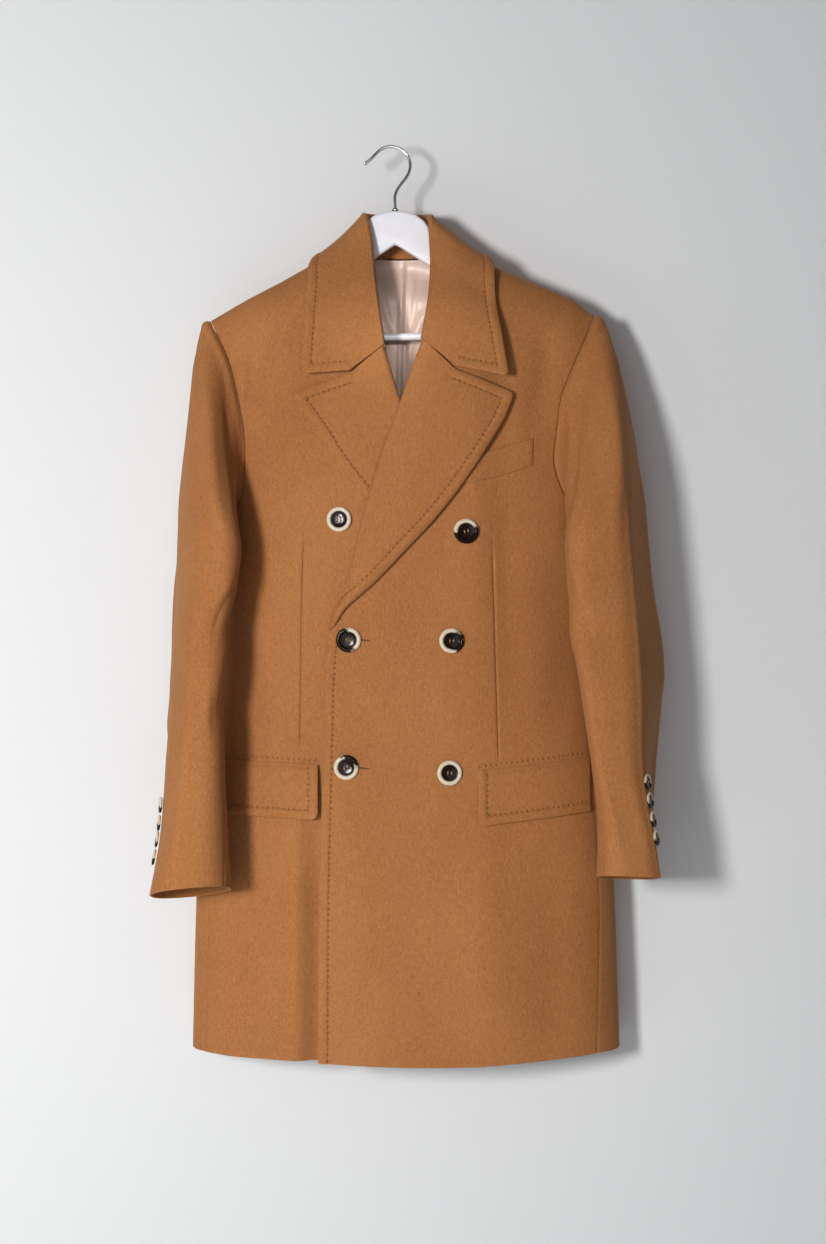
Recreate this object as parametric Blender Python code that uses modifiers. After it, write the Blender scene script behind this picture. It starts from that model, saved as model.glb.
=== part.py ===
"""A double-breasted wool overcoat hanging on a wooden hanger.

Metres, +Z up. The origin is the top inside of the hanger's hook, where it bears.
The coat faces -Y, and +X is the wearer's left. Every cloth panel is a thin wall on one
shared form: the body's girth, the armholes and the sleeve rings are worked out from the
section tables below, so panels that meet share their seam lines.
"""

from collections import namedtuple
from math import asin, cos, degrees, radians, sin, sqrt

import bmesh
import bpy
from mathutils import Matrix, Vector

# Driving sizes
CLOTH = 0.0024  # wall of the melton body cloth
TURNED = 0.0030  # lapel, collar and flap: two layers pressed together
LINING = 0.0012
LINING_GAP = 0.0050  # the lining hangs this far in front of the back
SEAM_GAP = 0.0003
SLEEVE_SEAM_GAP = 0.0008
SHOULDER_GAP = 0.0005  # each side of the shoulder seam, where the walls lean together
SHOULDER_ROUND = 0.050  # drop over which front and back curve away from the shoulder seam
FRONT_FULLNESS = 0.75  # below 1 makes the girth squarer than an ellipse
BACK_FULLNESS = 0.60
OVERLAP_LIFT = 0.0086  # overlap in front of that lapel
OVERLAP_LIFT_LOW = 0.0036  # overlap in front of the bare underlap, below the lapels
BREAK_Z = -0.550  # the height at which the lapels turn back
BREAK_EASE = 0.040  # the overlap's lift changes over this height at the break
OVERLAP_REACH = 0.135  # x past the underlap's edge, where the overlap lies on the form again
OVERLAP_EASE = 0.045
NECK_LIFT_Z = -0.215  # the lift dies out above this height, under the collar
NECK_EASE = 0.060
PIT_LEVEL = 6.0  # levels 0 to 6 run down the armhole, the rest down the side seam
HEM_LEVEL = 14.0
SHOULDER_FADE = 3.0  # the rows follow the shoulder's slope down to this level
LEVELS = [0.0, 0.1, 0.35, 1.0, 2.0, 3.0, 4.0, 5.0, 5.5]  # rows of a panel, shoulder to pit
TURNS = [level * 30.0 for level in LEVELS] + [180.0]  # the same rows round the armhole
LEVELS += [float(level) for level in range(6, 15)]
ARMHOLE_STEP = 30.0  # degrees of turn round the armhole for one level
FRONT_SEAM = 150.0  # degrees round the sleeve from its outer side
HANGER_ROLL = radians(-1.2)  # the hanger tips a little to the wearer's right

BodyRow = namedtuple("BodyRow", "z right left front fold back")
BODY = [  # x of each side fold, and y of the front, the folds and the back
    BodyRow(-0.090, -0.250, 0.272, -0.022, 0.020, 0.036),
    BodyRow(-0.150, -0.246, 0.268, -0.034, 0.024, 0.042),
    BodyRow(-0.200, -0.240, 0.262, -0.044, 0.029, 0.048),
    BodyRow(-0.300, -0.222, 0.248, -0.055, 0.036, 0.056),
    BodyRow(-0.437, -0.199, 0.2285, -0.060, 0.040, 0.060),
    BodyRow(-0.600, -0.205, 0.2320, -0.058, 0.040, 0.060),
    BodyRow(-0.720, -0.218, 0.2450, -0.060, 0.038, 0.060),
    BodyRow(-0.860, -0.231, 0.259, -0.064, 0.034, 0.062),
    BodyRow(-1.060, -0.236, 0.266, -0.070, 0.032, 0.064),
]

ShoulderPoint = namedtuple("ShoulderPoint", "x z")
SHOULDER = [  # the shoulder seam's height along the coat, neck point to tip on each side
    ShoulderPoint(-0.2129, -0.2040),
    ShoulderPoint(-0.1689, -0.1783),
    ShoulderPoint(-0.1314, -0.1590),
    ShoulderPoint(-0.0520, -0.1140),
    ShoulderPoint(0.0080, -0.0900),
    ShoulderPoint(0.0660, -0.1190),
    ShoulderPoint(0.1178, -0.1405),
    ShoulderPoint(0.2079, -0.1785),
    ShoulderPoint(0.2343, -0.1980),
]

ArmholePoint = namedtuple("ArmholePoint", "x z")
ARMHOLE = {  # every 30 degrees: shoulder tip, down the front to the pit, up the back
    "right": [
        ArmholePoint(-0.2129, -0.2040),
        ArmholePoint(-0.2015, -0.2260),
        ArmholePoint(-0.1860, -0.2640),
        ArmholePoint(-0.1735, -0.3230),
        ArmholePoint(-0.1715, -0.3800),
        ArmholePoint(-0.1800, -0.4190),
        ArmholePoint(-0.1940, -0.4370),
        ArmholePoint(-0.1975, -0.4230),
        ArmholePoint(-0.1965, -0.3850),
        ArmholePoint(-0.1960, -0.3250),
        ArmholePoint(-0.1990, -0.2640),
        ArmholePoint(-0.2060, -0.2250),
    ],
    "left": [
        ArmholePoint(0.2343, -0.1980),
        ArmholePoint(0.2250, -0.2190),
        ArmholePoint(0.2090, -0.2550),
        ArmholePoint(0.1915, -0.3060),
        ArmholePoint(0.1850, -0.3600),
        ArmholePoint(0.1980, -0.4080),
        ArmholePoint(0.2235, -0.4360),
        ArmholePoint(0.2268, -0.4220),
        ArmholePoint(0.2240, -0.3750),
        ArmholePoint(0.2230, -0.3160),
        ArmholePoint(0.2240, -0.2560),
        ArmholePoint(0.2290, -0.2170),
    ],
}

SideSeam = namedtuple("SideSeam", "level z right left")
SIDE_SEAM = [  # below the pit the seams lie on the front face, inside each fold
    SideSeam(6.0, -0.4370, -0.1940, 0.2235),
    SideSeam(7.0, -0.4900, -0.1950, 0.2190),
    SideSeam(8.0, -0.5500, -0.1960, 0.2190),
    SideSeam(9.0, -0.6200, -0.1990, 0.2220),
    SideSeam(10.0, -0.7100, -0.2050, 0.2280),
    SideSeam(11.0, -0.8000, -0.2105, 0.2350),
    SideSeam(12.0, -0.8900, -0.2135, 0.2385),
    SideSeam(13.0, -0.9800, -0.2165, 0.2370),
    SideSeam(14.0, -1.0540, -0.2185, 0.2345),
]

EdgePoint = namedtuple("EdgePoint", "level x z")
FRONT_EDGE = {  # neck point, neckline, roll line to the break, then the front edge
    "right": [
        EdgePoint(0.0, -0.0520, -0.1140),
        EdgePoint(1.0, -0.0470, -0.1480),
        EdgePoint(2.0, -0.0360, -0.1900),
        EdgePoint(3.0, -0.0180, -0.2400),
        EdgePoint(4.0, 0.0070, -0.3020),
        EdgePoint(5.0, 0.0270, -0.3600),
        EdgePoint(6.0, 0.0430, -0.4100),
        EdgePoint(7.0, 0.0640, -0.4800),
        EdgePoint(8.0, 0.0800, -0.5500),
        EdgePoint(9.0, 0.0820, -0.6200),
        EdgePoint(10.0, 0.0820, -0.7100),
        EdgePoint(11.0, 0.0810, -0.8000),
        EdgePoint(12.0, 0.0800, -0.8900),
        EdgePoint(13.0, 0.0790, -0.9800),
        EdgePoint(14.0, 0.0780, -1.0562),
    ],
    "left": [
        EdgePoint(0.0, 0.0660, -0.1190),
        EdgePoint(1.0, 0.0620, -0.1480),
        EdgePoint(2.0, 0.0540, -0.1880),
        EdgePoint(3.0, 0.0390, -0.2330),
        EdgePoint(4.0, 0.0120, -0.3060),
        EdgePoint(5.0, -0.0090, -0.3620),
        EdgePoint(6.0, -0.0240, -0.4120),
        EdgePoint(7.0, -0.0440, -0.4800),
        EdgePoint(8.0, -0.0700, -0.5520),
        EdgePoint(9.0, -0.0772, -0.6200),
        EdgePoint(10.0, -0.0792, -0.7100),
        EdgePoint(11.0, -0.0818, -0.8000),
        EdgePoint(12.0, -0.0834, -0.8900),
        EdgePoint(13.0, -0.0840, -0.9800),
        EdgePoint(14.0, -0.0843, -1.0580),
    ],
}

HEM_BOW = {"right": 0.0026, "left": 0.0060}  # the overlap's hem dips this much between edge and side

BackCentre = namedtuple("BackCentre", "level z")
BACK_CENTRE = [BackCentre(0.0, -0.1300), BackCentre(3.0, -0.2500), BackCentre(6.0, -0.4100)]
BACK_CENTRE += [BackCentre(row.level, row.z) for row in SIDE_SEAM[1:]]
BACK_CENTRE_X = 0.0110

SleeveRow = namedtuple("SleeveRow", "z outer inner front back skew rise pitch")
SLEEVE = {  # skew swings the back outwards, rise lifts the outer side, pitch the front
    "right": [
        SleeveRow(-0.450, -0.2475, -0.1735, -0.121, 0.015, 0.022, 0.034, 0.000),
        SleeveRow(-0.507, -0.2527, -0.1770, -0.127, 0.008, 0.022, 0.008, 0.000),
        SleeveRow(-0.571, -0.2560, -0.1890, -0.128, 0.004, 0.016, 0.000, 0.000),
        SleeveRow(-0.650, -0.2565, -0.1907, -0.134, -0.006, 0.012, 0.000, 0.002),
        SleeveRow(-0.716, -0.2600, -0.1888, -0.140, -0.014, 0.010, 0.000, 0.004),
        SleeveRow(-0.790, -0.2632, -0.1857, -0.146, -0.026, 0.006, 0.000, 0.006),
        SleeveRow(-0.8600, -0.2720, -0.1830, -0.150, -0.042, 0.000, -0.0045, 0.011),
    ],
    "left": [
        SleeveRow(-0.446, 0.2937, 0.1950, -0.122, 0.014, 0.0236, 0.030, 0.000),
        SleeveRow(-0.510, 0.3000, 0.1975, -0.128, 0.008, 0.0236, 0.008, 0.000),
        SleeveRow(-0.571, 0.3075, 0.2030, -0.128, 0.004, 0.0250, 0.000, 0.000),
        SleeveRow(-0.633, 0.3098, 0.2120, -0.132, -0.004, 0.0246, 0.000, 0.002),
        SleeveRow(-0.716, 0.3025, 0.2236, -0.138, -0.014, 0.0190, 0.000, 0.004),
        SleeveRow(-0.783, 0.2983, 0.2300, -0.144, -0.026, 0.0083, 0.000, 0.006),
        SleeveRow(-0.8435, 0.2990, 0.2310, -0.148, -0.040, 0.0000, -0.002, 0.0075),
    ],
}
SLEEVE_SQUARENESS = 2.4
FOLD_SQUARENESS = {"right": 2.4, "left": 5.0}  # of the quarter between outer side and front
PIT_EASE = 0.8  # the seam gap opens by this share at the pit, where the walls cross
SLEEVE_SIDE = {"right": -1.0, "left": 1.0}
CAP_ROWS = 4  # rows from the armhole to the first sleeve ring
SLEEVE_ROWS = 10
HEAD_FULLNESS, HEAD_SWING = 0.46, 0.16  # the sleeve head is tight at the top and full at the pit
HEAD_FORWARD, HEAD_RISE = 0.55, 0.15  # how the cap leaves the armhole, beside 1 to the side
ARM_PULL = 0.9  # how strongly the cap is drawn into line with the arm
SLEEVE_LEAN = {"right": 0.0, "left": 0.22}  # the outer side hangs this much further back
SKEW_SHARE = 0.35  # the ring narrows by this share of its skew
BACK_SEAM = -60.0  # degrees round the sleeve at the armhole
BACK_SEAM_SWING = 46.0  # the back seam swings this far forward on its way to the cuff

CollarRow = namedtuple("CollarRow", "roll gorge edge")
COLLAR = [  # wearer's right front corner, round the neck, to the left front corner
    CollarRow((-0.0115, -0.062, -0.2365), (-0.0458, -0.064, -0.2677), (-0.1040, -0.066, -0.2715)),
    CollarRow((-0.0198, -0.050, -0.1830), None, (-0.1006, -0.060, -0.2190)),
    CollarRow((-0.0255, -0.032, -0.1380), None, (-0.0985, -0.049, -0.1860)),
    CollarRow((-0.0290, -0.022, -0.1060), None, (-0.0975, -0.038, -0.1580)),
    CollarRow((-0.0337, -0.013, -0.0820), None, (-0.0965, -0.022, -0.1400)),
    CollarRow((-0.0357, 0.014, -0.0755), None, (-0.0885, 0.006, -0.1298)),
    CollarRow((-0.0200, 0.046, -0.0715), None, (-0.0560, 0.066, -0.1420)),
    CollarRow((0.0075, 0.050, -0.0710), None, (0.0080, 0.069, -0.1460)),
    CollarRow((0.0330, 0.046, -0.0718), None, (0.0720, 0.066, -0.1440)),
    CollarRow((0.0448, 0.014, -0.0765), None, (0.1068, 0.004, -0.1312)),
    CollarRow((0.0452, -0.013, -0.0850), None, (0.1158, -0.022, -0.1400)),
    CollarRow((0.0460, -0.022, -0.1090), None, (0.1162, -0.038, -0.1580)),
    CollarRow((0.0466, -0.032, -0.1400), None, (0.1175, -0.050, -0.1900)),
    CollarRow((0.0427, -0.052, -0.1830), None, (0.1235, -0.063, -0.2255)),
    CollarRow((0.0340, -0.066, -0.2300), (0.0683, -0.068, -0.2631), (0.1314, -0.074, -0.2749)),
]
COLLAR_BULGE, COLLAR_HOLLOW = 0.006, 0.0052  # the fall is full over the chest and hollow behind the neck
TAUT_SHARE, TAUT_EASE = 0.45, 0.35  # shares of the way from centre back to the front corner
GORGE_REACH = 0.4  # share of the fall's width at which its front end meets the lapel
STAND_INSET = 0.0038  # the stand's top lies this far inside the roll
NECK_AXIS_Y = 0.0120
FALL_AXIS = (0.008, 0.0333)  # x, y that the fall bulges away from
FALL_LEAN = 0.6  # below 1 the bulge goes more sideways than forwards

StandRow = namedtuple("StandRow", "x y z")
NECK_SEAM = [  # where the collar stand meets the coat, one for each collar row
    StandRow(-0.0175, -0.048, -0.2330),
    StandRow(-0.0310, -0.038, -0.1900),
    StandRow(-0.0400, -0.026, -0.1520),
    StandRow(-0.0455, -0.018, -0.1290),
    StandRow(-0.0530, -0.010, -0.1140),
    StandRow(-0.0530, 0.012, -0.1110),
    StandRow(-0.0300, 0.036, -0.1200),
    StandRow(0.0080, 0.040, -0.1240),
    StandRow(0.0460, 0.036, -0.1210),
    StandRow(0.0630, 0.012, -0.1135),
    StandRow(0.0630, -0.010, -0.1170),
    StandRow(0.0600, -0.018, -0.1300),
    StandRow(0.0565, -0.026, -0.1520),
    StandRow(0.0500, -0.038, -0.1900),
    StandRow(0.0390, -0.050, -0.2270),
]

LapelRow = namedtuple("LapelRow", "roll_x roll_z edge_x edge_z stand_off")
LAPEL = {  # stand_off is how far the free edge stands in front of the chest
    "right": [
        LapelRow(-0.0120, -0.2390, -0.1167, -0.2928, 0.0010),
        LapelRow(0.0080, -0.3020, -0.0900, -0.3280, 0.0010),
        LapelRow(0.0270, -0.3560, -0.0600, -0.3740, 0.0008),
        LapelRow(0.0430, -0.4100, -0.0275, -0.4155, 0.0004),
        LapelRow(0.0610, -0.4700, 0.0180, -0.4720, 0.0002),
        LapelRow(0.0780, -0.5360, 0.0680, -0.5340, 0.0000),
    ],
    "left": [
        LapelRow(0.0345, -0.2335, 0.1375, -0.2931, 0.0100),
        LapelRow(0.0210, -0.2700, 0.1277, -0.3182, 0.0100),
        LapelRow(0.0088, -0.3057, 0.1072, -0.3535, 0.0090),
        LapelRow(-0.0105, -0.3569, 0.0822, -0.3911, 0.0080),
        LapelRow(-0.0271, -0.4127, 0.0463, -0.4373, 0.0070),
        LapelRow(-0.0379, -0.4537, 0.0150, -0.4708, 0.0060),
        LapelRow(-0.0540, -0.5170, -0.0231, -0.5106, 0.0040),
        LapelRow(-0.0665, -0.5440, -0.0560, -0.5410, 0.0022),
        LapelRow(-0.0700, -0.5570, -0.0655, -0.5535, 0.0022),
    ],
}
LAPEL_GORGE = {"right": (-0.0458, -0.2690), "left": (0.0683, -0.2655)}
NOTCH_SHARE = 0.35  # share of the lapel's top edge that is sewn to the collar
LAPEL_GAP = 0.0036  # lapel in front of its own front
LAPEL_CROWN = {"right": 0.0016, "left": 0.0070}  # how full each lapel's roll is, half way down
CROWN_LEAN = 0.8  # below 1 the fullness is nearer the roll line than the free edge

Flap = namedtuple("Flap", "side inner_x outer_x top_inner top_outer drop")
FLAPS = [
    Flap("right", -0.0862, -0.1990, -0.7190, -0.7140, 0.0620),
    Flap("left", 0.0980, 0.2280, -0.7260, -0.7120, 0.0620),
]
FLAP_LIFT = 0.0042
FLAP_STAND = 0.0020  # the flap's lower edge stands this much further off

WELT_INNER = (0.0600, -0.3990)  # x, z of the welt's lower end, under the lapel
WELT_OUTER = (0.1610, -0.3745)
WELT_RISE = 0.0310
WELT_CURVE = 1.6  # above 1 the welt climbs more steeply towards the sleeve

LINING_X = (-0.052, 0.070)  # the lining's sides
LINING_Z = (-0.400, -0.1270)  # its lower edge, and its top under the collar stand
LINING_SLACK = 0.0125  # below its top the lining hangs this much further from the back
LINING_TOP, SLACK_EASE = -0.130, 0.050  # where that slack starts, and the height it grows over

FrontButton = namedtuple("FrontButton", "x z on_overlap")
FRONT_BUTTONS = [
    FrontButton(-0.0612, -0.4375, False),
    FrontButton(0.0830, -0.4515, True),
    FrontButton(-0.0504, -0.5755, True),
    FrontButton(0.0667, -0.5763, True),
    FrontButton(-0.0528, -0.7210, True),
    FrontButton(0.0644, -0.7273, True),
]
FRONT_BUTTON_R = 0.01425
CUFF_BUTTON_R = 0.0095
BUTTON_LIFT = 0.0024
BUTTON_STEPS = 14
DiscRow = namedtuple("DiscRow", "out up")
BUTTON_PROFILE = [  # shares of the button's radius: dished middle, rim, edge, back
    DiscRow(0.00, 0.176),
    DiscRow(0.62, 0.176),
    DiscRow(0.78, 0.320),
    DiscRow(1.00, 0.192),
    DiscRow(0.80, 0.000),
    DiscRow(0.00, 0.000),
]
CUFF_BUTTON_Z = {
    "right": (-0.7620, -0.7815, -0.8010, -0.8205),
    "left": (-0.7335, -0.7540, -0.7750, -0.7960),
}
CUFF_BUTTON_TURN = {"right": 6.0, "left": 30.0}  # degrees round the sleeve, in front of the back seam

WIRE_R = 0.0017
HOOK_ARC_R = 0.0225
HOOK_CENTRE = (-0.0032, -0.0208)
HOOK_ARC = range(140, -31, -17)  # degrees round the arc, from the tip's side to the slant
HOOK_TIP = (-0.0332, -0.0175)
HOOK_TIP_BEND = (-0.0270, -0.0130)
SLANT_END = (0.0030, 0.0065)  # from the stem's top, where the slant bends into it
STEM_BEND = 0.0015
STEM_REST = 0.0038  # the wire ends this far above the wood, in the ferrule
HOOK_STEM_X = 0.0006
HOOK_STEM_Z = -0.0550
NECK_TOP_Z = -0.0745
NECK_NOTCH_Z = -0.1135  # top of the notch under the neck
OutlinePoint = namedtuple("OutlinePoint", "x z")
HANGER_OUTLINE = [  # half the wood, from the neck's top round the arm's end and back beneath
    OutlinePoint(0.0000, NECK_TOP_Z),
    OutlinePoint(0.0120, -0.0755),
    OutlinePoint(0.0245, -0.0795),
    OutlinePoint(0.0345, -0.0870),
    OutlinePoint(0.0385, -0.0930),
    OutlinePoint(0.0418, -0.1030),
    OutlinePoint(0.0432, -0.1140),
    OutlinePoint(0.0465, -0.1235),
    OutlinePoint(0.0560, -0.1300),
    OutlinePoint(0.1000, -0.1500),
    OutlinePoint(0.1600, -0.1800),
    OutlinePoint(0.1900, -0.1970),
    OutlinePoint(0.2030, -0.2125),
    OutlinePoint(0.2030, -0.2360),
    OutlinePoint(0.1960, -0.2400),
    OutlinePoint(0.1800, -0.2300),
    OutlinePoint(0.1000, -0.1750),
    OutlinePoint(0.0400, -0.1400),
]
HANGER_THICK = 0.0120
BAR_R = 0.0043
BAR_Z = -0.2215
BAR_HALF = 0.1608
FERRULE_R, FERRULE_TOP_R, FERRULE_RISE = 0.0038, 0.0034, 0.0032

CAMEL = (0.355, 0.140, 0.048, 1.0)
SATIN = (0.42, 0.26, 0.20, 1.0)
WHITE = (0.80, 0.79, 0.83, 1.0)
HORN = (0.030, 0.022, 0.018, 1.0)
STEEL = (0.80, 0.80, 0.80, 1.0)


def clear_scene():
    for obj in list(bpy.data.objects):
        bpy.data.objects.remove(obj, do_unlink=True)


def new_collection(name):
    found = bpy.data.collections.new(name)
    bpy.context.scene.collection.children.link(found)
    return found


def material(name, colour, roughness, metallic=0.0):
    made = bpy.data.materials.new(name)
    made.use_nodes = True
    shader = made.node_tree.nodes["Principled BSDF"]
    shader.inputs["Base Color"].default_value = colour
    shader.inputs["Roughness"].default_value = roughness
    shader.inputs["Metallic"].default_value = metallic
    return made


def lerp(a, b, t):
    return a + (b - a) * t


def read_table(rows, key, at, column):
    """The column's value where the key column is `at`, in straight steps between rows."""
    ordered = sorted(rows, key=lambda row: getattr(row, key))
    if at <= getattr(ordered[0], key):
        return getattr(ordered[0], column)
    for low, high in zip(ordered, ordered[1:]):
        top = getattr(high, key)
        if at <= top:
            t = (at - getattr(low, key)) / (top - getattr(low, key))
            return lerp(getattr(low, column), getattr(high, column), t)
    return getattr(ordered[-1], column)


def along_rows(place, count):
    index = min(int(place), count - 2)
    return index, place - index


def smooth_step(t):
    t = min(max(t, 0.0), 1.0)
    return t * t * (3.0 - 2.0 * t)


def signed_power(value, power):
    return (1.0 if value >= 0.0 else -1.0) * abs(value) ** power


# The body's form


def body_at(z):
    return BodyRow(z, *(read_table(BODY, "z", z, name) for name in BodyRow._fields[1:]))


def shoulder_fall(x, z):
    """0 on the shoulder seam, rising to 1 where the cloth hangs clear of the shoulder."""
    drop = (read_table(SHOULDER, "x", x, "z") - z) / SHOULDER_ROUND
    drop = min(max(drop, 0.0), 1.0)
    return sqrt(1.0 - (1.0 - drop) ** 2)


def girth_angle(x, z, behind=False):
    """Degrees round the body, 0 at centre front and 180 at centre back."""
    row = body_at(z)
    half = (row.left - row.right) / 2.0
    share = min(abs(x - (row.left + row.right) / 2.0) / half, 1.0)
    angle = degrees(asin(share))
    return 180.0 - angle if behind else angle


def girth_point(side, angle, z, lift=0.0):
    """The point of the body's form at this angle towards side, -1 for the wearer's right."""
    row = body_at(z)
    middle = (row.left + row.right) / 2.0
    half = (row.left - row.right) / 2.0
    x = middle + side * half * sin(radians(angle))
    reach = cos(radians(angle))
    if reach >= 0.0:
        y = lerp(row.fold, row.front, reach**FRONT_FULLNESS)
    else:
        y = lerp(row.fold, row.back, (-reach) ** BACK_FULLNESS)
    return Vector((x, y * shoulder_fall(x, z) - lift, z))


def front_point(x, z, lift=0.0):
    row = body_at(z)
    side = 1.0 if x >= (row.left + row.right) / 2.0 else -1.0
    return girth_point(side, girth_angle(x, z), z, lift)


def overlap_lift(x, z):
    """How far the overlap stands in front of the body's form, over the underlap."""
    over = smooth_step((OVERLAP_REACH - x) / OVERLAP_EASE)
    high = smooth_step((z - BREAK_Z) / BREAK_EASE + 0.5)
    neck = smooth_step((z - NECK_LIFT_Z) / NECK_EASE)
    return over * lerp(OVERLAP_LIFT_LOW, OVERLAP_LIFT, high) * (1.0 - neck)


def armhole_turn(side, turn):
    """(angle round the body, z) at this many degrees round the armhole from its top."""
    rows = ARMHOLE[side]
    place = (turn % 360.0) / ARMHOLE_STEP
    index = int(place)
    ends = []
    for number in (index % 12, (index + 1) % 12):
        x, z = rows[number]
        ends.append((girth_angle(x, z, behind=number > PIT_LEVEL), z))
    if index == 11:
        ends[1] = (180.0 - ends[1][0], ends[1][1])
    share = place - index
    return lerp(ends[0][0], ends[1][0], share), lerp(ends[0][1], ends[1][1], share)


def armhole_point(side, turn, lift=0.0):
    angle, z = armhole_turn(side, turn)
    return girth_point(SLEEVE_SIDE[side], angle, z, lift)


# Walls of cloth


def cloth_wall(name, surface, columns, rows, wall, finish, home):
    """A grid laid on surface(u, v) and given its wall by Solidify."""
    bm = bmesh.new()
    bmesh.ops.create_grid(bm, x_segments=columns, y_segments=rows, size=0.5)
    for vert in bm.verts:
        vert.co = surface(vert.co.x + 0.5, vert.co.y + 0.5)
    mesh = bpy.data.meshes.new(name)
    bm.to_mesh(mesh)
    bm.free()
    mesh.shade_smooth()
    obj = bpy.data.objects.new(name, mesh)
    home.objects.link(obj)
    obj.data.materials.append(finish)
    thicken = obj.modifiers.new("Wall", "SOLIDIFY")
    thicken.thickness = wall
    thicken.offset = 0.0
    return obj


def toward(a, b, distance):
    """Point a moved this far towards b."""
    step = b - a
    return a + step.normalized() * distance if step.length > distance else a.copy()


def panel_level(v):
    """The level of this row of a panel, v from 0 at the hem to 1 at the shoulder."""
    index, share = along_rows((1.0 - v) * (len(LEVELS) - 1), len(LEVELS))
    return lerp(LEVELS[index], LEVELS[index + 1], share)


def front_surface(side):
    """surface(u, v) of one front: u from its edge to the side, v from hem to shoulder."""
    sign = SLEEVE_SIDE[side]

    def place(u, level):
        inner_x = read_table(FRONT_EDGE[side], "level", level, "x")
        inner_z = read_table(FRONT_EDGE[side], "level", level, "z")
        if level <= PIT_LEVEL:
            angle, outer_z = armhole_turn(side, level * ARMHOLE_STEP)
            outer_x = girth_point(sign, angle, outer_z).x
        else:
            outer_z = read_table(SIDE_SEAM, "level", level, "z")
            outer_x = read_table(SIDE_SEAM, "level", level, side)
        x = lerp(inner_x, outer_x, u)
        z = lerp(inner_z, outer_z, u)
        first, tip = FRONT_EDGE[side][0], ARMHOLE[side][0]
        seam_x = lerp(first.x, tip.x, u)
        rise = read_table(SHOULDER, "x", seam_x, "z") - lerp(first.z, tip.z, u)
        z += rise * max(0.0, 1.0 - level / SHOULDER_FADE)
        z -= HEM_BOW[side] * sin(radians(180.0 * u)) * smooth_step(level - HEM_LEVEL + 1.0)
        lift = overlap_lift(x, z) if side == "left" else 0.0
        return front_point(x, z, lift)

    def surface(u, v):
        level = panel_level(v)
        here = place(u, level)
        if u > 0.999:
            here = toward(here, place(0.95, level), SEAM_GAP)
        if v > 0.999:
            here = here - Vector((0.0, SHOULDER_GAP, 0.0))
        return here

    return surface


def back_surface(side):
    """surface(u, v) of one back: u from the centre seam round to the side seam."""
    sign = SLEEVE_SIDE[side]

    def place(u, level):
        centre_z = read_table(BACK_CENTRE, "level", level, "z")
        if level <= PIT_LEVEL:
            angle, outer_z = armhole_turn(side, 360.0 - level * ARMHOLE_STEP)
            if level == 0.0:
                angle = 180.0 - angle
        else:
            outer_z = read_table(SIDE_SEAM, "level", level, "z")
            outer_x = read_table(SIDE_SEAM, "level", level, side)
            angle = girth_angle(outer_x, outer_z)
        turned = lerp(180.0, angle, u)
        z = lerp(centre_z, outer_z, u)
        neck, tip = FRONT_EDGE[side][0], ARMHOLE[side][0]
        seam_x = lerp(BACK_CENTRE_X, tip.x, u)
        share = (seam_x - BACK_CENTRE_X) / (neck.x - BACK_CENTRE_X)
        seam_z = read_table(SHOULDER, "x", seam_x, "z")
        if share < 1.0:
            seam_z = lerp(BACK_CENTRE[0].z, neck.z, share)
        rise = seam_z - lerp(BACK_CENTRE[0].z, tip.z, u)
        if level < SHOULDER_FADE:
            fade = 1.0 - level / SHOULDER_FADE
            z += rise * fade
            row = body_at(z)
            middle = (row.left + row.right) / 2.0
            row_x = lerp(middle, girth_point(sign, angle, outer_z).x, u)
            turned = lerp(turned, girth_angle(row_x, z, behind=True), fade)
        return girth_point(sign, turned, z)

    def surface(u, v):
        level = panel_level(v)
        here = place(u, level)
        if u < 0.001 or u > 0.999:
            here = toward(here, place(0.04 if u < 0.5 else 0.96, level), SEAM_GAP)
        if v > 0.999:
            here = here + Vector((0.0, SHOULDER_GAP, 0.0))
        return here

    return surface


def sleeve_ring(side, row, turn):
    """A point of one sleeve ring: turn 0 outer, 90 front, 180 inner, 270 back."""
    sign = SLEEVE_SIDE[side]
    folded = cos(radians(turn)) > 0.0 and sin(radians(turn)) > 0.0
    squareness = FOLD_SQUARENESS[side] if folded else SLEEVE_SQUARENESS
    across = signed_power(cos(radians(turn)), 2.0 / squareness)
    along = signed_power(sin(radians(turn)), 2.0 / squareness)
    middle = (row.outer + row.inner) / 2.0
    half = abs(row.outer - row.inner) / 2.0 - abs(row.skew) * SKEW_SHARE
    x = middle + sign * (half * across - row.skew * along)
    y = (row.front + row.back) / 2.0 + (row.front - row.back) / 2.0 * along
    y += SLEEVE_LEAN[side] * sign * (x - middle)
    z = row.z + row.rise * across + row.pitch * along
    return Vector((x, y, z))


def clear_of_armhole(side, turn):
    """The small step that takes the sleeve's edge off the body's wall, all round the armhole."""
    sign = SLEEVE_SIDE[side]
    angle, z = armhole_turn(side, turn)
    here = girth_point(sign, angle, z)
    onward = girth_point(sign, angle + (2.0 if sin(radians(turn)) >= 0.0 else -2.0), z) - here
    level = cos(radians(turn))
    step = onward.normalized() * abs(sin(radians(turn)))
    step += Vector((sign * abs(level), 0.0, 0.0)) if level > 0.0 else Vector((0.0, 0.0, -level))
    return step * (SEAM_GAP + CLOTH * 0.5) * (1.0 + PIT_EASE * max(0.0, -level))


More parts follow.
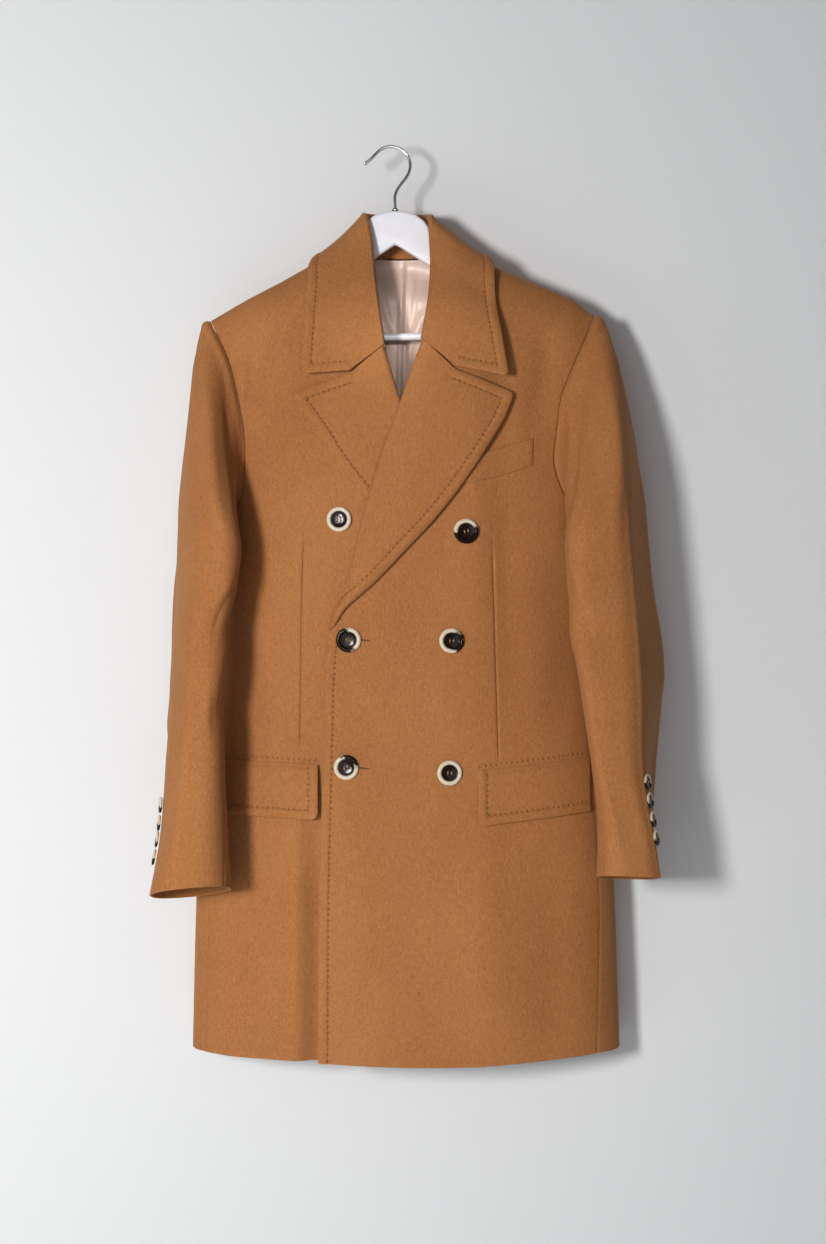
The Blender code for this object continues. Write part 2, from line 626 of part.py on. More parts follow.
def cap_point(side, turn, share):
    """Between the armhole (share 0) and the first sleeve ring (share 1)."""
    sign = SLEEVE_SIDE[side]
    first, second = SLEEVE[side][:2]
    start = armhole_point(side, turn)
    end = sleeve_ring(side, first, turn)
    facing = Vector((sign, -HEAD_FORWARD * sin(radians(turn)), HEAD_RISE * cos(radians(turn))))
    facing.normalize()
    start = start + clear_of_armhole(side, turn)
    span = (end - start).length
    leaving = facing * span * (HEAD_FULLNESS - HEAD_SWING * cos(radians(turn)))
    arriving = (sleeve_ring(side, second, turn) - end).normalized() * span * ARM_PULL
    t2, t3 = share * share, share**3
    return (
        start * (2.0 * t3 - 3.0 * t2 + 1.0)
        + leaving * (t3 - 2.0 * t2 + share)
        + end * (3.0 * t2 - 2.0 * t3)
        + arriving * (t3 - t2)
    )


def sleeve_point(side, turn, level):
    """level runs from 0 at the armhole, over the cap, down to the cuff."""
    if level <= CAP_ROWS:
        return cap_point(side, turn, level / CAP_ROWS)
    place = min(level - CAP_ROWS, len(SLEEVE[side]) - 1.0)
    index = min(int(place), len(SLEEVE[side]) - 2)
    upper = sleeve_ring(side, SLEEVE[side][index], turn)
    lower = sleeve_ring(side, SLEEVE[side][index + 1], turn)
    return upper.lerp(lower, place - index)


def sleeve_stops(under):
    """The columns of the top or the under sleeve, in degrees round the armhole."""
    if under:
        behind = [-turn for turn in TURNS if turn >= -BACK_SEAM]
        return behind + [turn - 360.0 for turn in reversed(TURNS) if FRONT_SEAM <= turn < 180.0]
    front = [turn for turn in reversed(TURNS) if turn <= FRONT_SEAM]
    return front + [-turn for turn in TURNS if 0.0 < turn <= -BACK_SEAM]


def sleeve_surface(side, under):
    """surface(u, v) of the top or the under sleeve, between the front and back seams."""
    last = CAP_ROWS + len(SLEEVE[side]) - 1.0
    stops = sleeve_stops(under)

    def turn_at(u, level):
        index, share = along_rows(u * (len(stops) - 1), len(stops))
        turn = lerp(stops[index], stops[index + 1], share)
        from_front = abs(turn - (FRONT_SEAM - 360.0 if under else FRONT_SEAM))
        whole = abs(stops[0] - stops[-1])
        return turn + BACK_SEAM_SWING * (level / last) * from_front / whole

    def surface(u, v):
        level = (1.0 - v) * last
        here = sleeve_point(side, turn_at(u, level), level)
        if u < 0.001 or u > 0.999:
            inward = sleeve_point(side, turn_at(0.08 if u < 0.5 else 0.92, level), level)
            here = toward(here, inward, SLEEVE_SEAM_GAP)
        return here

    return surface


def collar_row(index):
    row = COLLAR[index]
    roll, edge = Vector(row.roll), Vector(row.edge)
    gorge = Vector(row.gorge) if row.gorge else roll.lerp(edge, 0.45)
    return roll, gorge, edge


def fall_surface(u, v):
    """u runs from the roll to the outer edge, v round the neck."""
    index, share = along_rows(v * (len(COLLAR) - 1), len(COLLAR))
    first, second = collar_row(index), collar_row(index + 1)
    roll, gorge, edge = (a.lerp(b, share) for a, b in zip(first, second))
    if u <= GORGE_REACH:
        across = roll.lerp(gorge, u / GORGE_REACH)
    else:
        across = gorge.lerp(edge, (u - GORGE_REACH) / (1.0 - GORGE_REACH))
    outward = Vector((across.x - FALL_AXIS[0], (across.y - FALL_AXIS[1]) * FALL_LEAN, 0.0))
    full = smooth_step((abs(2.0 * v - 1.0) - TAUT_SHARE) / TAUT_EASE)
    fullness = COLLAR_BULGE * full - COLLAR_HOLLOW * (1.0 - full)
    return across + outward.normalized() * fullness * sin(radians(180.0 * u))


def stand_surface(u, v):
    """u runs from the neck seam up to just inside the roll, v round the neck."""
    index, share = along_rows(v * (len(COLLAR) - 1), len(COLLAR))
    seam = Vector(NECK_SEAM[index]).lerp(Vector(NECK_SEAM[index + 1]), share)
    roll = Vector(COLLAR[index].roll).lerp(Vector(COLLAR[index + 1].roll), share)
    inward = Vector((BACK_CENTRE_X - roll.x, NECK_AXIS_Y - roll.y, 0.0)).normalized()
    top = roll + inward * STAND_INSET - Vector((0.0, 0.0, STAND_INSET / 2.0))
    return seam.lerp(top, u)


def lapel_surface(side):
    """u runs from the roll line to the free edge, v from the break up to the gorge."""
    rows = LAPEL[side]
    gorge_x, gorge_z = LAPEL_GORGE[side]

    def surface(u, v):
        index, share = along_rows((1.0 - v) * (len(rows) - 1), len(rows))
        row = LapelRow(*(lerp(a, b, share) for a, b in zip(rows[index], rows[index + 1])))
        x = lerp(row.roll_x, row.edge_x, u)
        z = lerp(row.roll_z, row.edge_z, u)
        near = u / NOTCH_SHARE if u < NOTCH_SHARE else (1.0 - u) / (1.0 - NOTCH_SHARE)
        notch = max(0.0, 1.0 - (index + share)) * near
        x += notch * (gorge_x - lerp(rows[0].roll_x, rows[0].edge_x, NOTCH_SHARE))
        z += notch * (gorge_z - lerp(rows[0].roll_z, rows[0].edge_z, NOTCH_SHARE))
        lift = LAPEL_GAP + row.stand_off * smooth_step(u)
        lift += LAPEL_CROWN[side] * sin(radians(180.0 * u**CROWN_LEAN)) * sin(radians(180.0 * v))
        if side == "left":
            lift += overlap_lift(x, z)
        return front_point(x, z, lift)

    return surface


def flap_surface(flap):
    def surface(u, v):
        x = lerp(flap.inner_x, flap.outer_x, u)
        top = lerp(flap.top_inner, flap.top_outer, u)
        z = top - flap.drop * (1.0 - v)
        lift = FLAP_LIFT + (overlap_lift(x, z) if flap.side == "left" else 0.0)
        return front_point(x, z, lift + FLAP_STAND * (1.0 - v))

    return surface


def welt_surface(u, v):
    x = lerp(WELT_INNER[0], WELT_OUTER[0], u)
    z = lerp(WELT_INNER[1], WELT_OUTER[1], u**WELT_CURVE) + WELT_RISE * v
    return front_point(x, z, FLAP_LIFT + overlap_lift(x, z))


def lining_surface(u, v):
    x = lerp(*LINING_X, u)
    z = lerp(*LINING_Z, v)
    side = 1.0 if x > BACK_CENTRE_X else -1.0
    slack = LINING_SLACK * smooth_step((LINING_TOP - z) / SLACK_EASE)
    return girth_point(side, girth_angle(x, z, behind=True), z, LINING_GAP + slack)


# Hard pieces


def turned_piece(name, profile, steps, finish, home):
    """A closed profile of (radius, height) points turned about Z."""
    mesh = bpy.data.meshes.new(name)
    points = [(radius, 0.0, height) for radius, height in profile]
    mesh.from_pydata(points, [(i, i + 1) for i in range(len(points) - 1)], [])
    obj = bpy.data.objects.new(name, mesh)
    home.objects.link(obj)
    obj.data.materials.append(finish)
    spin = obj.modifiers.new("Turn", "SCREW")
    spin.steps = steps
    spin.render_steps = steps
    spin.use_merge_vertices = True
    spin.merge_threshold = 0.0001
    return obj


def add_button(name, radius, where, facing, finish, home):
    """A dished horn disc whose back lies at where, facing outwards."""
    profile = [(row.out * radius, row.up * radius) for row in BUTTON_PROFILE]
    button = turned_piece(name, profile, BUTTON_STEPS, finish, home)
    turned = facing.to_track_quat("Z", "Y").to_matrix().to_4x4()
    button.matrix_world = Matrix.Translation(where) @ turned


def add_front_buttons(finish, home):
    for number, button in enumerate(FRONT_BUTTONS, 1):
        lift = overlap_lift(button.x, button.z) if button.on_overlap else 0.0
        here = front_point(button.x, button.z, lift)
        right = front_point(button.x + 0.008, button.z, lift)
        above = front_point(button.x, button.z + 0.008, lift)
        facing = (right - here).cross(above - here).normalized()
        place = here + facing * (CLOTH / 2.0 + BUTTON_LIFT)
        add_button(f"front_button_{number}", FRONT_BUTTON_R, place, facing, finish, home)


def sleeve_level_at(side, turn, z):
    low, high = float(CAP_ROWS), CAP_ROWS + len(SLEEVE[side]) - 1.0
    for _ in range(40):
        middle = (low + high) / 2.0
        if sleeve_point(side, turn, middle).z > z:
            low = middle
        else:
            high = middle
    return middle


def add_cuff_buttons(side, finish, home):
    outward = Vector((SLEEVE_SIDE[side], 0.0, 0.0))
    for number, z in enumerate(CUFF_BUTTON_Z[side], 1):
        level = sleeve_level_at(side, CUFF_BUTTON_TURN[side], z)
        here = sleeve_point(side, CUFF_BUTTON_TURN[side], level)
        round_it = sleeve_point(side, CUFF_BUTTON_TURN[side] + 8.0, level) - here
        down_it = sleeve_point(side, CUFF_BUTTON_TURN[side], level + 0.1) - here
        facing = round_it.cross(down_it).normalized()
        facing = facing if facing.dot(outward) > 0.0 else -facing
        place = here + facing * (CLOTH / 2.0 + BUTTON_LIFT)
        add_button(f"cuff_button_{side}_{number}", CUFF_BUTTON_R, place, facing, finish, home)


def wire(name, points, radius, finish, home):
    curve = bpy.data.curves.new(name, "CURVE")
    curve.dimensions = "3D"
    curve.bevel_depth = radius
    curve.bevel_resolution = 2
    curve.use_fill_caps = True
    spline = curve.splines.new("POLY")
    spline.points.add(len(points) - 1)
    for point, place in zip(spline.points, points):
        point.co = (*place, 1.0)
    obj = bpy.data.objects.new(name, curve)
    home.objects.link(obj)
    obj.data.materials.append(finish)
    return obj


def hook_points():
    """From the tip, over the arc, down the slant to the stem."""
    points = [Vector((x, 0.0, z)) for x, z in (HOOK_TIP, HOOK_TIP_BEND)]
    for angle in HOOK_ARC:
        turn = radians(angle)
        x = HOOK_CENTRE[0] + HOOK_ARC_R * cos(turn)
        points.append(Vector((x, 0.0, HOOK_CENTRE[1] + HOOK_ARC_R * sin(turn))))
    points.append(Vector((HOOK_STEM_X + SLANT_END[0], 0.0, HOOK_STEM_Z + SLANT_END[1])))
    points.append(Vector((HOOK_STEM_X, 0.0, HOOK_STEM_Z - STEM_BEND)))
    points.append(Vector((HOOK_STEM_X, 0.0, NECK_TOP_Z + STEM_REST)))
    return points


def hanger_outline():
    """The flat outline of the wood: an arched neck and two sloping arms."""
    left = [(-point.x, point.z) for point in reversed(HANGER_OUTLINE[1:])]
    right = [(point.x, point.z) for point in HANGER_OUTLINE]
    return right + [(0.0, NECK_NOTCH_Z)] + left


def add_hanger(wood, steel, home):
    holder = bpy.data.objects.new("hanger_roll", None)
    holder.rotation_euler = (0.0, HANGER_ROLL, 0.0)
    home.objects.link(holder)
    outline = bpy.data.curves.new("hanger_body", "CURVE")
    outline.dimensions = "2D"
    outline.fill_mode = "BOTH"
    outline.extrude = HANGER_THICK / 2.0
    spline = outline.splines.new("POLY")
    points = hanger_outline()
    spline.points.add(len(points) - 1)
    for point, (x, z) in zip(spline.points, points):
        point.co = (x, z, 0.0, 1.0)
    spline.use_cyclic_u = True
    body = bpy.data.objects.new("hanger_body", outline)
    body.rotation_euler = (radians(90.0), 0.0, 0.0)
    body.parent = holder
    outline.materials.append(wood)
    home.objects.link(body)
    bar = wire("hanger_bar", [(-BAR_HALF, 0, BAR_Z), (BAR_HALF, 0, BAR_Z)], BAR_R, wood, home)
    bar.parent = holder
    hook = wire("hanger_hook", hook_points(), WIRE_R, steel, home)
    hook.parent = holder
    ring = [(0.0, FERRULE_RISE), (FERRULE_TOP_R, FERRULE_RISE), (FERRULE_R, 0.0), (0.0, 0.0)]
    ferrule = turned_piece("hanger_ferrule", ring, 14, steel, home)
    ferrule.location = (HOOK_STEM_X, 0.0, NECK_TOP_Z + SEAM_GAP)
    ferrule.parent = holder


def main():
    clear_scene()
    home = new_collection("wool_overcoat")
    camel = material("camel_melton", CAMEL, 0.95)
    satin = material("lining_satin", SATIN, 0.45)
    white = material("painted_wood", WHITE, 0.45)
    horn = material("button_horn", HORN, 0.25)
    steel = material("hook_chrome", STEEL, 0.12, 1.0)
    rows = len(LEVELS) - 1
    for side in ("left", "right"):
        cloth_wall(f"front_{side}", front_surface(side), 12, rows, CLOTH, camel, home)
        cloth_wall(f"back_{side}", back_surface(side), 11, rows, CLOTH, camel, home)
        for piece, under in (("top_sleeve", False), ("under_sleeve", True)):
            columns = len(sleeve_stops(under)) - 1
            sleeve = sleeve_surface(side, under)
            cloth_wall(f"{piece}_{side}", sleeve, columns, SLEEVE_ROWS, CLOTH, camel, home)
        lapel_rows = len(LAPEL[side]) - 1
        cloth_wall(f"lapel_{side}", lapel_surface(side), 6, lapel_rows, TURNED, camel, home)
        add_cuff_buttons(side, horn, home)
    cloth_wall("collar_fall", fall_surface, 5, len(COLLAR) - 1, TURNED, camel, home)
    cloth_wall("collar_stand", stand_surface, 2, len(COLLAR) - 1, CLOTH, camel, home)
    for flap in FLAPS:
        cloth_wall(f"flap_{flap.side}", flap_surface(flap), 6, 1, TURNED, camel, home)
    cloth_wall("breast_welt", welt_surface, 6, 1, CLOTH, camel, home)
    cloth_wall("back_lining", lining_surface, 6, 6, LINING, satin, home)
    add_front_buttons(horn, home)
    add_hanger(white, steel, home)


main()
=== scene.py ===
# %% [markdown]
# # A camel overcoat on its hanger
# The coat is cut from heavy wool melton and sewn over canvas, so it hangs in broad calm planes with few
# creases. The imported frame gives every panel's place. Each panel is laid again here as a much finer sheet
# on the same body form, read smoothly from the same sizes, and then gets its rolled edges, stitches and
# soft folds.

from collections import namedtuple

import bmesh
import bpy
import numpy as np
from mathutils import Matrix, Vector


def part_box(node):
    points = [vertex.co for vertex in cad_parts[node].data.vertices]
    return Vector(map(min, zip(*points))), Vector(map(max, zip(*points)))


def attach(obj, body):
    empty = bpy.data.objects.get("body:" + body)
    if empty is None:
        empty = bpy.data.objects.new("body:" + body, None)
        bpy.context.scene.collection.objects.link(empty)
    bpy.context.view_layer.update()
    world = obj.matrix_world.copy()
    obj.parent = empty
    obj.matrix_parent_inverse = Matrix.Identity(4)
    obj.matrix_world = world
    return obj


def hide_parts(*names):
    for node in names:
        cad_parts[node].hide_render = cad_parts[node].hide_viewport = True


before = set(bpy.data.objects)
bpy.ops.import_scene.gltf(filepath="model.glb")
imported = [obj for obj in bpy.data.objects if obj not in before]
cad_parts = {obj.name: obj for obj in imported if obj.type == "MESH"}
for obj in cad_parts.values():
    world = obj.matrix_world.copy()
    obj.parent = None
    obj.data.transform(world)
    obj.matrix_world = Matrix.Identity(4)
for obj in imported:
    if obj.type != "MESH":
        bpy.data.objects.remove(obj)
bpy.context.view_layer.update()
bpy.ops.object.select_all(action="DESELECT")

# %% [markdown]
# ## Reading a table smoothly
# A tailor's block is drawn by joining a few measured points with a curve. The sizes below are short tables,
# and this reads them with a cubic that never overshoots a row, so a straight stretch stays straight.


# %% Smooth reading
def smooth_step(t):
    t = np.clip(t, 0.0, 1.0)
    return t * t * (3.0 - 2.0 * t)


def flow(keys, values, at):
    """Values eased between their keys by a cubic that doesn't overshoot."""
    keys, values, at = (np.asarray(part, float) for part in (keys, values, at))
    slopes = np.diff(values) / np.diff(keys)
    before, after = slopes[:-1], slopes[1:]
    total = np.where(before * after > 0.0, before + after, 1.0)
    inner = np.where(before * after > 0.0, 2.0 * before * after / total, 0.0)
    tangents = np.concatenate([slopes[:1], inner, slopes[-1:]])
    at = np.clip(at, keys[0], keys[-1])
    low = np.clip(np.searchsorted(keys, at, side="right") - 1, 0, len(keys) - 2)
    width = keys[low + 1] - keys[low]
    t = (at - keys[low]) / width
    rise = values[low] * (1.0 + 2.0 * t) * (1.0 - t) ** 2 + values[low + 1] * t * t * (3.0 - 2.0 * t)
    return rise + width * (tangents[low] * t * (1.0 - t) ** 2 + tangents[low + 1] * t * t * (t - 1.0))


def read(rows, key, at, column):
    """One column of a table where its key column is `at`."""
    pairs = sorted((getattr(row, key), getattr(row, column)) for row in rows)
    keys, values = zip(*pairs)
    return flow(keys, values, at)


def rows_at(rows, place):
    """Every column of a table, read smoothly at places counted in rows from the first."""
    index = np.arange(len(rows))
    return {name: flow(index, [getattr(row, name) for row in rows], place) for name in rows[0]._fields}


def stretches(stops, counts):
    """Values from the first stop to the last, with so many steps in each stretch between two stops."""
    parts = [np.linspace(a, b, n, endpoint=False) for a, b, n in zip(stops, stops[1:], counts)]
    return np.concatenate([*parts, [stops[-1]]])


def along(points, at):
    """A Catmull-Rom curve through points, at whole numbers on the points themselves."""
    points = np.asarray(points, float)
    at = np.clip(np.asarray(at, float), 0.0, len(points) - 1.0)
    low = np.clip(at.astype(int), 0, len(points) - 2)
    t = (at - low)[..., None]
    padded = np.concatenate([2 * points[:1] - points[1:2], points, 2 * points[-1:] - points[-2:-1]])
    a, b, c, d = (padded[low + step] for step in range(4))
    return 0.5 * (2 * b + (c - a) * t + (2 * a - 5 * b + 4 * c - d) * t**2 + (3 * b - a - 3 * c + d) * t**3)


print("halfway between 0 and 1:", float(flow([0, 1, 2], [0, 1, 1], 0.5)))

# %% [markdown]
# ## The body's form
# All the panels lie on one shape: flat across the chest and back, folded at the sides, and falling away from
# the shoulder seam over the hanger. The tables are the frame's own sizes, in metres.

# %% The body's sizes
BodyRow = namedtuple("BodyRow", "z right left front fold back")
BODY = [  # x of each side fold, and y of the front, the folds and the back
    BodyRow(-0.090, -0.250, 0.272, -0.022, 0.020, 0.036),
    BodyRow(-0.150, -0.246, 0.268, -0.034, 0.024, 0.042),
    BodyRow(-0.200, -0.240, 0.262, -0.044, 0.029, 0.048),
    BodyRow(-0.300, -0.222, 0.248, -0.055, 0.036, 0.056),
    BodyRow(-0.437, -0.199, 0.2285, -0.060, 0.040, 0.060),
    BodyRow(-0.600, -0.205, 0.2320, -0.058, 0.040, 0.060),
    BodyRow(-0.720, -0.218, 0.2450, -0.060, 0.038, 0.060),
    BodyRow(-0.860, -0.231, 0.259, -0.064, 0.034, 0.062),
    BodyRow(-1.060, -0.236, 0.266, -0.070, 0.032, 0.064),
]
SHOULDER_X = (-0.2129, -0.1689, -0.1314, -0.0520, 0.0080, 0.0660, 0.1178, 0.2079, 0.2343)
SHOULDER_Z = (-0.2040, -0.1783, -0.1590, -0.1140, -0.0900, -0.1190, -0.1405, -0.1785, -0.1980)
SHOULDER_ROUND = 0.050
FRONT_FULLNESS, BACK_FULLNESS = 0.75, 0.60
SIDE = {"right": -1.0, "left": 1.0}


def shoulder_fall(x, z):
    """0 on the shoulder seam, rising to 1 where the cloth hangs clear of the shoulder."""
    drop = np.clip((np.interp(x, SHOULDER_X, SHOULDER_Z) - z) / SHOULDER_ROUND, 0.0, 1.0)
    return np.sqrt(1.0 - (1.0 - drop) ** 2)


def girth_angle(x, z, behind=False):
    """Degrees round the body, 0 at centre front and 180 at centre back."""
    right, left = read(BODY, "z", z, "right"), read(BODY, "z", z, "left")
    share = np.clip(np.abs(x - (left + right) / 2.0) / ((left - right) / 2.0), 0.0, 1.0)
    angle = np.degrees(np.arcsin(share))
    return 180.0 - angle if behind else angle


def girth_point(side, angle, z, lift=0.0):
    """Points of the body's form at these angles towards side, -1 for the wearer's right."""
    right, left, front, fold, back = (read(BODY, "z", z, name) for name in BodyRow._fields[1:])
    x = (left + right) / 2.0 + side * (left - right) / 2.0 * np.sin(np.radians(angle))
    reach = np.cos(np.radians(angle))
    ahead = fold + (front - fold) * np.clip(reach, 0.0, 1.0) ** FRONT_FULLNESS
    behind = fold + (back - fold) * np.clip(-reach, 0.0, 1.0) ** BACK_FULLNESS
    y = np.where(reach >= 0.0, ahead, behind)
    return np.stack([x, y * shoulder_fall(x, z) - lift, z + 0.0 * x], axis=-1)


print("chest front at", girth_point(1.0, 20.0, np.array(-0.4)).round(3))

# %% [markdown]
# ## Creases that belong to the whole front
# Cloth that lies on cloth folds with it: a trough in the front passes through the flap and the lapel above
# it. So one field of soft troughs and ridges moves every layer of the front together. Each is a short line
# with a width and a depth, and its ends fade out. No two are alike in length or depth.

# %% The front's and back's creases
Crease = namedtuple("Crease", "x z to_x to_z bow width depth")
FRONT_CREASES = [
    Crease(-0.150, -0.215, -0.158, -0.300, 0.004, 0.013, -0.0050),
    Crease(-0.172, -0.250, -0.176, -0.330, 0.003, 0.010, 0.0030),
    Crease(-0.120, -0.225, -0.128, -0.420, -0.006, 0.030, 0.0030),
    Crease(0.176, -0.215, 0.160, -0.330, -0.005, 0.016, -0.0040),
    Crease(0.150, -0.250, 0.140, -0.420, 0.004, 0.028, 0.0026),
    Crease(-0.168, -0.470, -0.172, -0.700, 0.008, 0.024, -0.0045),
    Crease(0.186, -0.470, 0.190, -0.690, -0.010, 0.026, -0.0050),
    Crease(-0.030, -0.640, -0.040, -0.990, 0.010, 0.045, 0.0022),
    Crease(0.040, -0.780, 0.052, -1.060, -0.008, 0.040, -0.0026),
    Crease(0.120, -0.800, 0.132, -1.070, 0.010, 0.036, 0.0034),
    Crease(0.180, -0.820, 0.178, -1.070, -0.004, 0.026, -0.0034),
    Crease(-0.130, -0.810, -0.140, -1.070, 0.006, 0.034, -0.0036),
    Crease(-0.180, -0.830, -0.186, -1.070, -0.003, 0.022, 0.0030),
    Crease(0.119, -0.949, 0.219, -0.946, -0.002, 0.0035, -0.0008),
    Crease(-0.190, -0.946, -0.165, -0.946, 0.001, 0.0035, -0.0007),
    Crease(-0.071, -0.968, -0.057, -0.968, 0.000, 0.0030, -0.0006),
]
BACK_CREASES = [
    Crease(-0.150, -0.230, -0.140, -0.400, -0.006, 0.020, -0.0040),
    Crease(0.172, -0.225, 0.160, -0.390, 0.007, 0.022, -0.0042),
    Crease(-0.075, -0.300, -0.110, -0.620, 0.010, 0.040, 0.0030),
    Crease(0.090, -0.310, 0.130, -0.640, -0.012, 0.042, 0.0030),
    Crease(-0.150, -0.560, -0.160, -0.900, 0.010, 0.034, -0.0045),
    Crease(0.180, -0.540, 0.186, -0.860, -0.008, 0.036, -0.0042),
    Crease(-0.060, -0.700, -0.070, -1.080, 0.006, 0.036, 0.0034),
    Crease(0.080, -0.740, 0.094, -1.080, -0.009, 0.040, 0.0038),
    Crease(-0.130, -0.850, -0.135, -1.080, 0.004, 0.026, -0.0036),
    Crease(0.150, -0.830, 0.160, -1.080, 0.006, 0.028, -0.0040),
]


def crease_height(creases, a, b):
    """How far the creases push the cloth outwards at places (a, b)."""
    total = np.zeros(np.shape(a))
    for crease in creases:
        run = np.array([crease.to_x - crease.x, crease.to_z - crease.z])
        length = np.hypot(*run)
        run /= length
        share = ((a - crease.x) * run[0] + (b - crease.z) * run[1]) / length
        side = (a - crease.x) * run[1] - (b - crease.z) * run[0]
        side = side - crease.bow * 4.0 * share * (1.0 - share)
        ends = smooth_step((share + 0.12) / 0.35) * smooth_step((1.12 - share) / 0.35)
        total += crease.depth * ends * np.exp(-((side / crease.width) ** 2))
    return total


def front_point(x, z, lift=0.0):
    """Points that lie on the front, lift in front of the body's form."""
    right, left = read(BODY, "z", z, "right"), read(BODY, "z", z, "left")
    side = np.where(x >= (left + right) / 2.0, 1.0, -1.0)
    points = girth_point(side, girth_angle(x, z), z, lift)
    points[..., 1] -= crease_height(FRONT_CREASES, x, z) * shoulder_fall(x, z)
    return points


print(len(FRONT_CREASES), "creases on the front,", len(BACK_CREASES), "on the back")

# %% [markdown]
# ## Laying a sheet of cloth
# A panel is a grid of points with a wall given by Solidify and a small bevel on its cut edges, as a thick
# wool edge is soft. Each sheet carries two maps in metres: one runs with the cloth, and one says how far each
# point is from the finished edge and how far along it, which is where the pick stitches go.


# %% Sheet helpers
def round_corner(a, b, size_a, size_b, radius):
    """Points of a panel (metres from two edges) drawn in so that the corner between them is round."""
    p, q = np.clip((radius - a) / radius, 0, 1), np.clip((radius - b) / radius, 0, 1)
    new_a = np.where((p > 0) & (q > 0), radius - radius * p * np.sqrt(1 - q * q / 2), a)
    new_b = np.where((p > 0) & (q > 0), radius - radius * q * np.sqrt(1 - p * p / 2), b)
    return new_a / size_a, new_b / size_b


CHUNK = 4000  # points measured at once, to spare memory


def away_from(grid, part):
    """Metres from each point of a grid to the point of a line in its own row or column."""
    return np.linalg.norm(grid - part, axis=2)


def edge_measure(grid, lines):
    """Metres from the nearest of the finished edges, and metres along it."""
    points = grid.reshape(-1, 3)
    best, place = np.full(len(points), 1.0), np.zeros(len(points))
    for line in lines:
        steps = np.linalg.norm(np.diff(line, axis=0), axis=1)
        run = np.concatenate([[0.0], np.cumsum(steps)])
        heading = np.gradient(line, axis=0)
        heading /= np.linalg.norm(heading, axis=1)[:, None] + 1e-9
        for start in range(0, len(points), CHUNK):
            chunk = slice(start, start + CHUNK)
            part = points[chunk]
            nearest = np.linalg.norm(part[:, None] - line[None], axis=2).argmin(axis=1)
            away = part - line[nearest]
            forward = (away * heading[nearest]).sum(axis=1)
            beyond = ((nearest == 0) & (forward < -0.001)) | ((nearest == len(line) - 1) & (forward > 0.001))
            apart = np.sqrt(np.maximum((away**2).sum(axis=1) - forward**2, 0.0))
            apart = np.where(np.abs(forward) > 0.004, np.linalg.norm(away, axis=1), apart)
            apart = np.where(beyond, 1.0, apart)
            closer = apart < best[chunk]
            best[chunk] = np.where(closer, apart, best[chunk])
            place[chunk] = np.where(closer, run[nearest] + forward, place[chunk])
    return best.reshape(grid.shape[:2]), place.reshape(grid.shape[:2])


def surface_normals(grid, outward):
    """Unit normals of a grid, turned to the side that outward points to."""
    across, up = np.gradient(grid, axis=1), np.gradient(grid, axis=0)
    normals = np.cross(across, up)
    normals /= np.linalg.norm(normals, axis=2)[..., None] + 1e-12
    facing = (normals * np.asarray(outward, float)).sum(axis=2).mean()
    return normals if facing > 0.0 else -normals


EDGE_WIDTH, EDGE_RISE = 0.0098, 0.0012
GROOVE_DEPTH, GROOVE_WIDTH = 0.0006, 0.0013
STITCH_LINE = EDGE_WIDTH + 0.0006


def rolled_edge(distance):
    """The padded ridge outside a row of pick stitches, and the groove that the stitches pull in."""
    ridge = np.sin(np.clip(distance / EDGE_WIDTH, 0, 1) * np.pi) ** 0.7 * EDGE_RISE
    groove = np.exp(-(((distance - STITCH_LINE) / GROOVE_WIDTH) ** 2)) * GROOVE_DEPTH
    return ridge - groove


def lay_sheet(name, grid, wall, lines=(), outward=(0.0, -1.0, 0.0), relief=True, bevel=0.0007):
    """A closed sheet of cloth on a grid of points, with its maps, wall and soft cut edges."""
    distance, place = edge_measure(grid, lines)
    if len(lines) and relief:
        grid = grid + surface_normals(grid, outward) * rolled_edge(distance)[..., None]
    rows, columns = grid.shape[:2]
    index = np.arange(rows * columns).reshape(rows, columns)
    faces = np.stack([index[:-1, :-1], index[:-1, 1:], index[1:, 1:], index[1:, :-1]], axis=-1).reshape(-1, 4)
    mesh = bpy.data.meshes.new(name)
    mesh.from_pydata(grid.reshape(-1, 3).tolist(), [], faces.tolist())
    width = np.cumsum(np.linalg.norm(np.diff(grid, axis=1), axis=2).mean(axis=0))
    height = np.cumsum(np.linalg.norm(np.diff(grid, axis=0), axis=2).mean(axis=1))
    run = np.broadcast_to(np.concatenate([[0.0], width]), (rows, columns))
    rise = np.broadcast_to(np.concatenate([[0.0], height])[:, None], (rows, columns))
    corners = np.empty(len(mesh.loops), np.int32)
    mesh.loops.foreach_get("vertex_index", corners)
    for label, first, second in (("cloth", run, rise), ("edge", distance, place)):
        layer = mesh.uv_layers.new(name=label)
        values = np.stack([first.reshape(-1), second.reshape(-1)], axis=1)[corners]
        layer.data.foreach_set("uv", values.astype(np.float32).reshape(-1))
    mesh.shade_smooth()
    obj = bpy.data.objects.new(name, mesh)
    bpy.context.scene.collection.objects.link(obj)
    bpy.ops.object.select_all(action="DESELECT")
    bpy.context.view_layer.objects.active = obj
    obj.select_set(True)
    thicken = obj.modifiers.new("Wall", "SOLIDIFY")
    thicken.thickness, thicken.offset = wall, 0.0
    bpy.ops.object.modifier_apply(modifier="Wall")
    soften = obj.modifiers.new("Soft edge", "BEVEL")
    soften.width, soften.segments, soften.angle_limit = bevel, 2, np.radians(60.0)
    bpy.ops.object.modifier_apply(modifier="Soft edge")
    obj.data.shade_smooth()
    obj.select_set(False)
    areas = np.empty(len(obj.data.polygons))
    obj.data.polygons.foreach_get("area", areas)
    print(name, len(obj.data.polygons), "faces,", round(areas.sum() / 2.0, 4), "m2 of cloth")
    return obj


